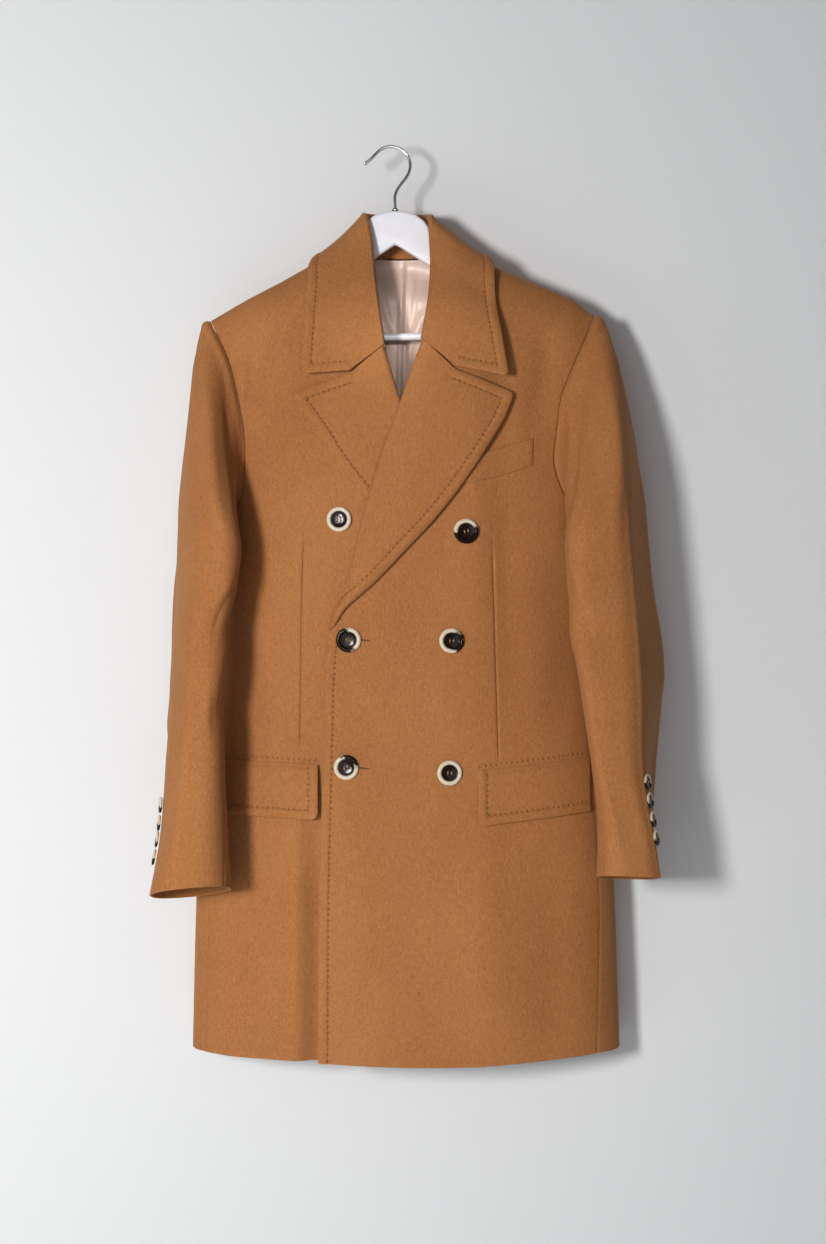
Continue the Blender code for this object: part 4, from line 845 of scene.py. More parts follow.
for side in ("right", "left"):
    grid, flat = lapel_grid(side)
    notch = int(np.abs(flat[0] - GORGE_SHARE).argmin())
    free = np.concatenate([grid[0, notch:-1], grid[:-6, -1]])
    sheets[f"lapel_{side}"] = lay_sheet(f"lapel_{side}_cloth", grid, TURNED, [free], bevel=0.0009)

# %% [markdown]
# ## The collar
# The stand and the fall are one sheet with a fold between them: up inside the neck, over the roll, and down
# and out over the shoulders. Its front ends meet the lapels along the gorge, and its corners are only held
# there, so they lift off the chest.

# %% The collar's sizes
CollarRow = namedtuple("CollarRow", "roll edge seam")
COLLAR = [  # wearer's right front corner, round the neck, to the left front corner
    CollarRow((-0.0115, -0.060, -0.2365), (-0.1040, -0.065, -0.2715), (-0.0175, -0.048, -0.2330)),
    CollarRow((-0.0198, -0.050, -0.1830), (-0.1006, -0.060, -0.2190), (-0.0310, -0.038, -0.1900)),
    CollarRow((-0.0255, -0.032, -0.1380), (-0.0985, -0.049, -0.1860), (-0.0400, -0.026, -0.1520)),
    CollarRow((-0.0290, -0.022, -0.1060), (-0.0975, -0.038, -0.1580), (-0.0455, -0.018, -0.1290)),
    CollarRow((-0.0337, -0.013, -0.0820), (-0.0965, -0.022, -0.1400), (-0.0530, -0.010, -0.1140)),
    CollarRow((-0.0357, 0.014, -0.0755), (-0.0885, 0.006, -0.1298), (-0.0530, 0.012, -0.1110)),
    CollarRow((-0.0200, 0.046, -0.0715), (-0.0560, 0.066, -0.1420), (-0.0300, 0.036, -0.1200)),
    CollarRow((0.0075, 0.050, -0.0710), (0.0080, 0.069, -0.1460), (0.0080, 0.040, -0.1240)),
    CollarRow((0.0330, 0.046, -0.0718), (0.0720, 0.066, -0.1440), (0.0460, 0.036, -0.1210)),
    CollarRow((0.0448, 0.014, -0.0765), (0.1068, 0.004, -0.1312), (0.0630, 0.012, -0.1135)),
    CollarRow((0.0452, -0.013, -0.0850), (0.1158, -0.022, -0.1400), (0.0630, -0.010, -0.1170)),
    CollarRow((0.0460, -0.022, -0.1090), (0.1162, -0.038, -0.1580), (0.0600, -0.018, -0.1300)),
    CollarRow((0.0466, -0.032, -0.1400), (0.1175, -0.050, -0.1900), (0.0565, -0.026, -0.1520)),
    CollarRow((0.0427, -0.052, -0.1830), (0.1235, -0.063, -0.2255), (0.0500, -0.038, -0.1900)),
    CollarRow((0.0340, -0.065, -0.2300), (0.1314, -0.073, -0.2749), (0.0390, -0.050, -0.2270)),
]
GORGE_ENDS = [(-0.0458, -0.062, -0.2677), (0.0683, -0.067, -0.2631)]  # where each end leaves its lapel
COLLAR_BULGE, COLLAR_HOLLOW, STAND_INSET, STAND_BOW = 0.006, 0.0052, 0.0042, 0.0015
GORGE_REACH, CORNER_ROUND = 0.4, 0.0065
STAND_TOP, ROLL_DROP, ROLL_RISE = (np.array([0.0, 0.0, value]) for value in (0.0034, 0.0020, 0.0024))
STAND_COLUMNS, ROLL_COLUMNS, FALL_COLUMNS = 16, 12, 62
NECK_LINES, END_LINES = 18, 24
print(len(COLLAR), "rows round the collar")


# %% Fold the collar
def collar_grid():
    """Rows run round the neck, columns from the neck seam over the roll to the outer edge."""
    last = len(COLLAR) - 1
    place = stretches(range(last + 1), [END_LINES, *[NECK_LINES] * (last - 2), END_LINES])
    roll, edge, seam = (np.array([getattr(row, name) for row in COLLAR]) for name in CollarRow._fields)
    gorge = roll * 0.55 + edge * 0.45
    gorge[0], gorge[-1] = GORGE_ENDS
    roll, edge, seam, gorge = (along(points, place)[:, None] for points in (roll, edge, seam, gorge))
    inward = np.concatenate([0.011 - roll[..., :1], 0.012 - roll[..., 1:2], 0.0 * roll[..., :1]], axis=-1)
    inward /= np.linalg.norm(inward, axis=-1)[..., None]
    top = roll + inward * STAND_INSET - STAND_TOP
    u = np.linspace(0.0, 1.0, STAND_COLUMNS, endpoint=False)[None, :, None]
    stand = seam + (top - seam) * u + inward * STAND_BOW * np.sin(np.pi * u)
    turn = np.linspace(0.0, np.pi, ROLL_COLUMNS, endpoint=False)[None, :, None]
    start = roll - ROLL_DROP
    fold = top + (start - top) * (0.5 - 0.5 * np.cos(turn)) + ROLL_RISE * np.sin(turn)
    u = np.linspace(0.0, 1.0, FALL_COLUMNS)[None, :, None]
    reach = np.where(u < GORGE_REACH, u / GORGE_REACH, (u - GORGE_REACH) / (1.0 - GORGE_REACH))
    fall = np.where(u < GORGE_REACH, start + (gorge - start) * reach, gorge + (edge - gorge) * reach)
    aside, ahead = fall[..., :1] - 0.008, fall[..., 1:2] * 0.6 - 0.02
    outward = np.concatenate([aside, ahead, 0.0 * aside], axis=-1)
    outward /= np.linalg.norm(outward, axis=-1)[..., None]
    full = smooth_step((np.abs(2.0 * place / last - 1.0) - 0.45) / 0.35)[:, None, None]
    fall = fall + outward * (COLLAR_BULGE * full - COLLAR_HOLLOW * (1.0 - full)) * np.sin(np.pi * u)
    return np.concatenate([stand, fold, fall], axis=1)


def turned_corner(grid, radius):
    """The grid with the two corners of its outer edge drawn in to a round of this radius."""
    for rows in (slice(None), slice(None, None, -1)):
        part = grid[rows]
        p = np.clip(1.0 - away_from(part, part[:1]) / radius, 0.0, 1.0)
        q = np.clip(1.0 - away_from(part, part[:, -1:]) / radius, 0.0, 1.0)
        inward_row = part[12:13, :] - part[:1, :]
        inward_row /= np.linalg.norm(inward_row, axis=2)[..., None]
        inward_edge = part[:, -14:-13] - part[:, -1:]
        inward_edge /= np.linalg.norm(inward_edge, axis=2)[..., None]
        pull = radius * (p * (1.0 - np.sqrt(1.0 - q * q / 2.0)))[..., None]
        push = radius * (q * (1.0 - np.sqrt(1.0 - p * p / 2.0)))[..., None]
        part += inward_row * pull + inward_edge * push
    return grid


grid = turned_corner(collar_grid(), CORNER_ROUND)
fall_start = STAND_COLUMNS + ROLL_COLUMNS
notch = fall_start + int(GORGE_REACH * FALL_COLUMNS)
free = np.concatenate([grid[0, notch:-1], grid[:, -1], grid[-1, notch:-1][::-1]])
normals = surface_normals(grid, (0.0, 0.0, 0.0))
faces_front = normals[4, fall_start + 18][1] < 0.0  # the fall's end tells which side is out
normals = normals * (1.0 if faces_front else -1.0)
distance, _ = edge_measure(grid, [free])
on_fall = np.arange(grid.shape[1]) > fall_start + 2
relief = rolled_edge(distance) * on_fall
print("collar is", np.ptp(grid[..., 0]).round(3), "m wide; its ridge stands", relief.max().round(5), "m")
grid = grid + normals * relief[..., None]
sheets["collar"] = lay_sheet("collar_cloth", grid, TURNED, [free], relief=False, bevel=0.0009)

# %% [markdown]
# ## Flaps and welt
# The hip flaps hang from a seam under their top edge and are stitched round. The breast welt slants up
# towards the sleeve, and its inner half is under the lapel.

# %% Flaps and welt
FLAP_LIFT, FLAP_SPRING, FLAP_TOP_PRESS, FLAP_ROUND = 0.0042, 0.0022, 0.0024, 0.0080
FLAP_COLUMNS, FLAP_LINES = 70, 44
WELT_INNER, WELT_OUTER, WELT_RISE = (0.0600, -0.3990), (0.1610, -0.3745), 0.0310
WELT_WALL, WELT_LIFT, WELT_RIM = 0.0018, 0.0016, 0.0014


def flap_grid(flap):
    width = abs(flap.outer_x - flap.inner_x)
    u, v = np.meshgrid(np.linspace(0.0, 1.0, FLAP_COLUMNS), np.linspace(0.0, 1.0, FLAP_LINES))
    inner, low = round_corner(u * width, v * flap.drop, width, flap.drop, FLAP_ROUND)
    u, v = np.where(u < 0.5, inner, u), low
    x = flap.inner_x + (flap.outer_x - flap.inner_x) * u
    z = flap.top_inner + (flap.top_outer - flap.top_inner) * u - flap.drop * (1.0 - v)
    lift = FLAP_LIFT + (overlap_lift(x, z) if flap.side == "left" else 0.0)
    lift = lift + FLAP_SPRING * (1.0 - v) - FLAP_TOP_PRESS * smooth_step((v - 0.86) / 0.14)
    return front_point(x, z, lift)


for flap in FLAPS:
    grid = flap_grid(flap)
    free = np.concatenate([grid[:, 0][::-1], grid[0, 1:]])
    sheets[f"flap_{flap.side}"] = lay_sheet(f"flap_{flap.side}_cloth", grid, TURNED, [free], bevel=0.0009)
u, v = np.meshgrid(np.linspace(0.0, 1.0, 60), np.linspace(0.0, 1.0, 24))
x = WELT_INNER[0] + (WELT_OUTER[0] - WELT_INNER[0]) * u
z = WELT_INNER[1] + (WELT_OUTER[1] - WELT_INNER[1]) * u**1.6 + WELT_RISE * v
rim = np.minimum(smooth_step(v / 0.10), smooth_step((1.0 - u) / 0.03))
grid = front_point(x, z, WELT_LIFT + WELT_RIM * rim + overlap_lift(x, z))
sheets["breast_welt"] = lay_sheet("breast_welt_cloth", grid, WELT_WALL, [], bevel=0.0006)

# %% [markdown]
# ## The lining
# Satin lines the back of the neck, with a pleat down its middle for ease and loose diagonal creases. It is
# laid on the inside of the back with some slack, and its creases are narrower than the wool's, because it
# is thin. Its finish gives a small rectangle near the top a slightly deeper tone.

# %% The lining
LINING_CREASES = [
    Crease(0.011, -0.140, 0.006, -0.390, 0.001, 0.0030, 0.0044),
    Crease(0.016, -0.140, 0.012, -0.390, 0.002, 0.0040, -0.0036),
    Crease(-0.020, -0.165, 0.002, -0.236, 0.004, 0.0060, 0.0030),
    Crease(-0.030, -0.200, -0.006, -0.260, -0.004, 0.0050, -0.0030),
    Crease(-0.014, -0.150, -0.004, -0.205, 0.003, 0.0040, -0.0020),
    Crease(0.046, -0.180, 0.016, -0.250, 0.005, 0.0060, 0.0034),
    Crease(0.050, -0.210, 0.020, -0.275, -0.004, 0.0050, -0.0030),
    Crease(0.030, -0.150, 0.022, -0.225, 0.003, 0.0050, -0.0020),
    Crease(-0.018, -0.250, 0.004, -0.330, 0.005, 0.0060, 0.0030),
    Crease(0.036, -0.250, 0.014, -0.330, -0.005, 0.0060, 0.0034),
    Crease(0.026, -0.262, 0.008, -0.345, 0.004, 0.0040, -0.0028),
]
LINING, LINING_GAP, LINING_SLACK = 0.0012, 0.0056, 0.0125
LINING_TOP, SLACK_EASE = -0.130, 0.050
LINING_LEFT, LINING_WIDTH, LINING_LOW, LINING_HEIGHT = -0.052, 0.122, -0.400, 0.273
u, v = np.meshgrid(np.linspace(0.0, 1.0, 96), np.linspace(0.0, 1.0, 120))
x, z = LINING_LEFT + LINING_WIDTH * u, LINING_LOW + LINING_HEIGHT * v
side = np.where(x > NAPE_X, 1.0, -1.0)
slack = LINING_GAP + LINING_SLACK * smooth_step((LINING_TOP - z) / SLACK_EASE)
grid = girth_point(side, girth_angle(x, z, behind=True), z, slack)
grid[..., 1] -= crease_height(LINING_CREASES, x, z)
sheets["back_lining"] = lay_sheet("back_lining_satin", grid, LINING, [], bevel=0.0003)

# %% [markdown]
# ## Horn buttons
# A horn button is turned from a disc: a thick rounded rim, a dished middle and four drilled holes, through
# which two bars of thread are sewn. One disc is modelled at the origin by insetting and lowering the top
# face of a cylinder, step by step towards the middle. Each button is then a copy with its own mesh, moved
# to its place.

# %% One button, modelled once
def only(obj):
    bpy.ops.object.select_all(action="DESELECT")
    bpy.context.view_layer.objects.active = obj
    obj.select_set(True)
    return obj


def select_faces(obj, wanted):
    """In edit mode, selects only the faces whose middle and normal are wanted."""
    bpy.ops.mesh.select_all(action="DESELECT")
    shape = bmesh.from_edit_mesh(obj.data)
    for face in shape.faces:
        face.select_set(bool(wanted(face.calc_center_median(), face.normal)))
    bmesh.update_edit_mesh(obj.data)


DISH = [  # how far in, and how far up, each step of the rim and the dish goes, in radii
    (0.05, 0.07), (0.06, 0.045), (0.07, 0.012), (0.07, -0.02), (0.05, -0.06), (0.04, -0.05), (0.06, -0.02),
]
HOLE_PLACE, HOLE_R, THREAD_R = 0.15, 0.075, 0.085
bpy.ops.object.select_all(action="DESELECT")
bpy.ops.mesh.primitive_cylinder_add(vertices=56, radius=1.0, depth=0.18, location=(0.0, 0.0, 0.09))
disc = bpy.context.object
bpy.ops.object.mode_set(mode="EDIT")
select_faces(disc, lambda middle, normal: normal.z > 0.9)
for inset, rise in DISH:
    bpy.ops.mesh.inset(thickness=inset, depth=0.0)
    bpy.ops.transform.translate(value=(0.0, 0.0, rise))
select_faces(disc, lambda middle, normal: normal.z < -0.9)
bpy.ops.transform.resize(value=(0.82, 0.82, 1.0))
bpy.ops.object.mode_set(mode="OBJECT")
for x in (-HOLE_PLACE, HOLE_PLACE):
    for y in (-HOLE_PLACE, HOLE_PLACE):
        bpy.ops.mesh.primitive_cylinder_add(vertices=16, radius=HOLE_R, depth=1.0, location=(x, y, 0.1))
        drill = bpy.context.object
        only(disc)
        cut = disc.modifiers.new("Hole", "BOOLEAN")
        cut.operation, cut.object = "DIFFERENCE", drill
        bpy.ops.object.modifier_apply(modifier="Hole")
        bpy.data.objects.remove(drill, do_unlink=True)
only(disc)
bpy.ops.object.shade_smooth_by_angle(angle=np.radians(42.0))
print("disc", len(disc.data.polygons), "faces, 1 m radius before it is scaled")

# %% Its two bars of thread
place = (-HOLE_PLACE, 0.0, 0.17)
bpy.ops.mesh.primitive_uv_sphere_add(segments=14, ring_count=8, radius=THREAD_R, location=place)
thread_bar = bpy.context.object
bpy.ops.object.mode_set(mode="EDIT")
bpy.ops.mesh.select_all(action="SELECT")
bpy.ops.transform.resize(value=(0.55, 1.2, 0.7))
bpy.ops.mesh.duplicate()
bpy.ops.transform.translate(value=(2.0 * HOLE_PLACE, 0.0, 0.0))
bpy.ops.object.mode_set(mode="OBJECT")
bpy.ops.object.transform_apply(location=True, rotation=True, scale=True)
only(thread_bar)
bpy.ops.object.shade_smooth()
print("thread", len(thread_bar.data.polygons), "faces")

# %% [markdown]
# ## Every button in its place
# A front button sits square on the cloth under it, so its direction is read from three points of the front.
# A cuff button is sewn on the sleeve's back fold and looks along that fold's own normal. No two are turned
# alike.

# %% Where the buttons are
FrontButton = namedtuple("FrontButton", "x z on_overlap turn")
FRONT_BUTTONS = [
    FrontButton(-0.0612, -0.4375, False, 8.0),
    FrontButton(0.0830, -0.4515, True, 12.0),
    FrontButton(-0.0504, -0.5755, True, -22.0),
    FrontButton(0.0667, -0.5763, True, 4.0),
    FrontButton(-0.0528, -0.7210, True, 35.0),
    FrontButton(0.0644, -0.7273, True, -6.0),
]
FRONT_BUTTON_R, CUFF_BUTTON_R, BUTTON_LIFT = 0.01425, 0.0095, 0.0024
CUFF_BUTTON_Z = {"right": (-0.7620, -0.7815, -0.8010, -0.8205), "left": (-0.7335, -0.7540, -0.7750, -0.7960)}
CUFF_BUTTON_TURN = {"right": 6.0, "left": 30.0}
button_places = {}
print(len(FRONT_BUTTONS), "buttons on the fronts,", len(CUFF_BUTTON_Z["right"]), "on each cuff")


# %% Sew them on
def copy_to(source, name, matrix):
    """A copy with its own mesh, its place in the mesh and its object at the origin."""
    made = bpy.data.objects.new(name, source.data.copy())
    bpy.context.scene.collection.objects.link(made)
    made.data.transform(matrix)
    return made


def place_button(node, radius, on_cloth, facing, turn):
    """Copies the button to a place on the cloth, looking along facing and turned about it."""
    where = on_cloth + facing * (CLOTH / 2 + BUTTON_LIFT)
    facing = Vector(facing).normalized()
    across = Vector((0.0, 0.0, 1.0)).cross(facing).normalized()
    up = facing.cross(across)
    turned = Matrix((across, up, facing)).transposed().to_4x4()
    spin = Matrix.Rotation(np.radians(turn), 4, "Z")
    matrix = Matrix.Translation(Vector(where)) @ turned @ spin @ Matrix.Scale(radius, 4)
    horn, thread = copy_to(disc, f"{node}_horn", matrix), copy_to(thread_bar, f"{node}_thread", matrix)
    button_places[node] = (horn, thread, where, radius)


def plane_normal(here, aside, above, outward):
    """Which way three points of the cloth face, to the side that outward points to."""
    normal = np.cross(aside - here, above - here)
    normal /= np.linalg.norm(normal)
    return normal if np.dot(normal, outward) > 0.0 else -normal


for number, button in enumerate(FRONT_BUTTONS, 1):
    x, z = np.array([0.0, 0.010, 0.0]) + button.x, np.array([0.0, 0.0, 0.010]) + button.z
    lift = overlap_lift(x[:1], z[:1]) if button.on_overlap else 0.0
    here, aside, above = front_point(x, z, lift)
    facing = plane_normal(here, aside, above, (0.0, -1.0, 0.0))
    place_button(f"front_button_{number}", FRONT_BUTTON_R, here, facing, button.turn)
for side in ("right", "left"):
    levels_down = np.linspace(CAP_ROWS, CUFF_ROW, 400)
    line = sleeve_grid(side, np.full(400, CUFF_BUTTON_TURN[side]), levels_down)
    for number, z in enumerate(CUFF_BUTTON_Z[side], 1):
        level = levels_down[np.abs(line[:, 2] - z).argmin()]
        around = np.array([0.0, 8.0, 0.0]) + CUFF_BUTTON_TURN[side]
        here, aside, below = sleeve_grid(side, around, np.array([level, level, level + 0.1]))
        facing = plane_normal(here, aside, below, (SIDE[side], 0.0, 0.0))
        place_button(f"cuff_button_{side}_{number}", CUFF_BUTTON_R, here, facing, 20.0 * number)
bpy.data.objects.remove(disc, do_unlink=True)
bpy.data.objects.remove(thread_bar, do_unlink=True)
print(len(button_places), "buttons placed")

# %% [markdown]
# ## Buttonholes
# Each hole on the overlap is worked in thick thread, and its outer end shows past the button as a short
# dark bar pressed into the cloth.

# %% Buttonholes
Buttonhole = namedtuple("Buttonhole", "x z to_x to_z")
BUTTONHOLES = [Buttonhole(-0.0420, -0.5765, -0.0222, -0.5755), Buttonhole(-0.0440, -0.7225, -0.0240, -0.7212)]
holes = []
for number, hole in enumerate(BUTTONHOLES, 1):
    ends = np.array([hole.x, hole.to_x]), np.array([hole.z, hole.to_z])
    first, last = front_point(*ends, overlap_lift(*ends))
    middle = (first + last) / 2.0 - np.array([0.0, CLOTH / 2 + 0.0001, 0.0])
    length = float(np.linalg.norm(last - first))
    bpy.ops.mesh.primitive_uv_sphere_add(segments=20, ring_count=12, radius=1.0, location=middle)
    bar = only(bpy.context.object)
    bpy.ops.object.mode_set(mode="EDIT")
    bpy.ops.transform.resize(value=(length / 2.0, 0.0006, 0.0009))
    bpy.ops.transform.rotate(value=-0.065, orient_axis="Y", center_override=tuple(middle))
    bpy.ops.object.mode_set(mode="OBJECT")
    bpy.ops.object.transform_apply(location=True, rotation=True, scale=True)
    bpy.ops.object.shade_smooth()
    bar.name = f"buttonhole_{number}"
    holes.append(bar)
    print(bar.name, round(length, 4), "m long")

# %% [markdown]
# ## The hanger
# The wood is cut from one board and sanded round, so a copy of its frame solid is merged, cleaned of the flat
# triangles' edges and bevelled. The bar is a dowel, so it is a cylinder with eased ends.

# %% Wood
hanger_parts = {}
HANGER_TILT, BAR_R, BAR_END = 1.2, 0.0043, 0.0006  # degrees, and metres
wood = bpy.data.objects.new("hanger_wood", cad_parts["hanger_body"].data.copy())
bpy.context.scene.collection.objects.link(wood)
wood.data.materials.clear()
only(wood)
bpy.ops.object.mode_set(mode="EDIT")
bpy.ops.mesh.select_all(action="SELECT")
bpy.ops.mesh.remove_doubles(threshold=0.00001)
bpy.ops.mesh.dissolve_limited(angle_limit=np.radians(1.0))
bpy.ops.object.mode_set(mode="OBJECT")
sand = wood.modifiers.new("Sanded", "BEVEL")
sand.width, sand.segments, sand.angle_limit = 0.0034, 5, np.radians(50.0)
bpy.ops.object.modifier_apply(modifier="Sanded")
bpy.ops.object.shade_smooth_by_angle(angle=np.radians(35.0))
hanger_parts["hanger_body"] = wood
low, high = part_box("hanger_bar")
bpy.ops.mesh.primitive_cylinder_add(vertices=40, radius=BAR_R, depth=1.0, location=(0.0, 0.0, 0.0))
bar = only(bpy.context.object)
bpy.ops.object.mode_set(mode="EDIT")
bpy.ops.transform.resize(value=(1.0, 1.0, high.x - low.x - BAR_END))
select_faces(bar, lambda middle, normal: abs(normal.z) > 0.9)
bpy.ops.mesh.bevel(offset=0.0012, segments=3, affect="EDGES")
bpy.ops.object.mode_set(mode="OBJECT")
bar.rotation_euler = (0.0, np.radians(90.0 - HANGER_TILT), 0.0)
bar.location = ((low.x + high.x) / 2.0, 0.0, (low.z + high.z) / 2.0)
bpy.ops.object.transform_apply(location=True, rotation=True, scale=True)
bpy.ops.object.shade_smooth_by_angle(angle=np.radians(40.0))
bar.name = "hanger_bar_dowel"
hanger_parts["hanger_bar"] = bar
print("wood", len(wood.data.polygons), "faces; bar", round(high.x - low.x, 3), "m long")

# %% [markdown]
# ## The hook and its bead
# The hook is bent from one wire whose end is rounded to a ball, and it stands in a small metal bead. A
# curve with a round bevel is the natural way to draw a bent wire. Its points follow the bend, and it is
# made a mesh at once.

# %% Hook
WIRE_R, HANGER_ROLL = 0.0017, np.radians(-HANGER_TILT)
BALL_R, BEAD_R, BEAD_RISE = 0.0021, 0.0042, 0.0016
HOOK = [  # x, z along the wire's middle, before the hanger's tilt
    (-0.0332, -0.0175), (-0.0270, -0.0130), (-0.0205, -0.0066), (-0.0142, -0.0014), (-0.0070, 0.0011),
    (0.0002, 0.0012), (0.0076, -0.0014), (0.0140, -0.0066), (0.0181, -0.0138), (0.0193, -0.0210),
    (0.0176, -0.0290), (0.0140, -0.0355), (0.0088, -0.0420), (0.0046, -0.0476), (0.0018, -0.0530),
    (0.0006, -0.0580), (0.0006, -0.0640), (0.0006, -0.0707),
]


def tilted(x, z):
    """A place in the hanger's plane, turned with the hanger about the hook's top."""
    cos, sin = np.cos(HANGER_ROLL), np.sin(HANGER_ROLL)
    return (x * cos + z * sin, 0.0, z * cos - x * sin)


bpy.ops.curve.primitive_bezier_curve_add(radius=0.01)
hook = only(bpy.context.object)
spline = hook.data.splines[0]
spline.bezier_points.add(len(HOOK) - 2)
for point, (x, z) in zip(spline.bezier_points, HOOK):
    point.co = tilted(x, z)
    point.handle_left_type = point.handle_right_type = "AUTO"
hook.data.bevel_depth, hook.data.bevel_resolution = WIRE_R, 4
hook.data.resolution_u, hook.data.use_fill_caps = 8, True
bpy.ops.object.convert(target="MESH")
hook = only(bpy.context.object)
hook.location = (0.0, 0.0, 0.0)
bpy.ops.object.transform_apply(location=True, rotation=True, scale=True)
bpy.ops.mesh.primitive_uv_sphere_add(segments=24, ring_count=14, radius=BALL_R, location=tilted(*HOOK[0]))
ball = bpy.context.object
bpy.ops.object.mode_set(mode="EDIT")
bpy.ops.transform.resize(value=(1.12, 1.0, 1.0))
bpy.ops.object.mode_set(mode="OBJECT")
bpy.ops.object.transform_apply(location=True, rotation=True, scale=True)
hook.select_set(True)
bpy.context.view_layer.objects.active = hook
bpy.ops.object.join()
bpy.ops.object.shade_smooth()
hook.name = "hanger_hook_wire"
hanger_parts["hanger_hook"] = hook
print("hook", len(hook.data.polygons), "faces")

# %% Bead
low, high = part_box("hanger_ferrule")
place = ((low.x + high.x) / 2, 0.0, low.z + BEAD_RISE)
bpy.ops.mesh.primitive_uv_sphere_add(segments=28, ring_count=14, radius=BEAD_R, location=place)
bead = only(bpy.context.object)
bpy.ops.object.mode_set(mode="EDIT")
bpy.ops.transform.resize(value=(0.9, 0.9, 0.5))
bpy.ops.object.mode_set(mode="OBJECT")
bpy.ops.object.transform_apply(location=True, rotation=True, scale=True)
bpy.ops.object.shade_smooth()
bead.name = "hanger_ferrule_bead"
hanger_parts["hanger_ferrule"] = bead
print("bead", len(bead.data.polygons), "faces")

# %% [markdown]
# ## The melton
# Melton is wool milled until its weave is hidden, then brushed and cropped, so up close it is a mat of short
# fibres and from afar it is dull with a soft light edge. Three scales of noise give the fibres, the nap's
# streaks and the faint cloudiness of handled cloth. Sheen lights the fibres at grazing angles. The stitch map
# gives short sunk stitches a set way inside each finished edge.
# Each stitch's colour is darkened with painted shade, in the dimple it pulls into the cloth.

# %% Node helpers
def new_finish(name):
    made = bpy.data.materials.new(name)
    made.use_nodes = True
    made.node_tree.nodes.clear()
    output = made.node_tree.nodes.new("ShaderNodeOutputMaterial")
    shader = made.node_tree.nodes.new("ShaderNodeBsdfPrincipled")
    made.node_tree.links.new(shader.outputs["BSDF"], output.inputs["Surface"])
    return made, made.node_tree, shader


def node(tree, kind, settings=None, **inputs):
    made = tree.nodes.new(kind)
    for name, value in (settings or {}).items():
        setattr(made, name, value)
    for name, value in inputs.items():
        numbered = name[0] == "i" and name[1:].isdigit()
        socket = made.inputs[int(name[1:]) if numbered else name.replace("_", " ")]
        if isinstance(value, bpy.types.NodeSocket):
            tree.links.new(value, socket)
        else:
            socket.default_value = value
    return made


def arithmetic(tree, operation, *values):
    inputs = {f"i{i}": value for i, value in enumerate(values)}
    return node(tree, "ShaderNodeMath", {"operation": operation}, **inputs).outputs[0]


def times(tree, first, second):
    return arithmetic(tree, "MULTIPLY", first, second)


def plus(tree, first, second):
    return arithmetic(tree, "ADD", first, second)


def vector_math(tree, operation, *values, output="Vector"):
    inputs = {f"i{i}": value for i, value in enumerate(values)}
    return node(tree, "ShaderNodeVectorMath", {"operation": operation}, **inputs).outputs[output]


def soft_range(tree, value, low, high, to_low=0.0, to_high=1.0):
    settings = {"interpolation_type": "SMOOTHSTEP"}
    inputs = {"i0": value, "i1": low, "i2": high, "i3": to_low, "i4": to_high}
    return node(tree, "ShaderNodeMapRange", settings, **inputs).outputs[0]


def cloud(tree, vector, scale, detail=2.0, stretch=(1.0, 1.0, 1.0)):
    placed = node(tree, "ShaderNodeMapping", None, Vector=vector, Scale=stretch).outputs[0]
    return node(tree, "ShaderNodeTexNoise", None, Vector=placed, Scale=scale, Detail=detail).outputs["Fac"]


def blend_colours(tree, share, first, second, kind="MIX"):
    made = tree.nodes.new("ShaderNodeMix")
    made.data_type, made.blend_type = "RGBA", kind
    for socket, value in ((made.inputs[0], share), (made.inputs[6], first), (made.inputs[7], second)):
        if isinstance(value, bpy.types.NodeSocket):
            tree.links.new(value, socket)
        else:
            socket.default_value = value
    return made.outputs[2]


print("node helpers ready")

# %% Melton
CAMEL_LIT, CAMEL_DEEP = (0.412, 0.176, 0.063, 1.0), (0.276, 0.102, 0.030, 1.0)
# Painted shade: the colour that each sunk stitch is darkened towards.
STITCH_DIMPLE_SHADE = (0.170, 0.054, 0.014, 1.0)
STITCH_ACROSS, STITCH_ALONG = (0.0023, 0.0003), (0.24, 0.04)
STITCH_PITCH = 0.0064


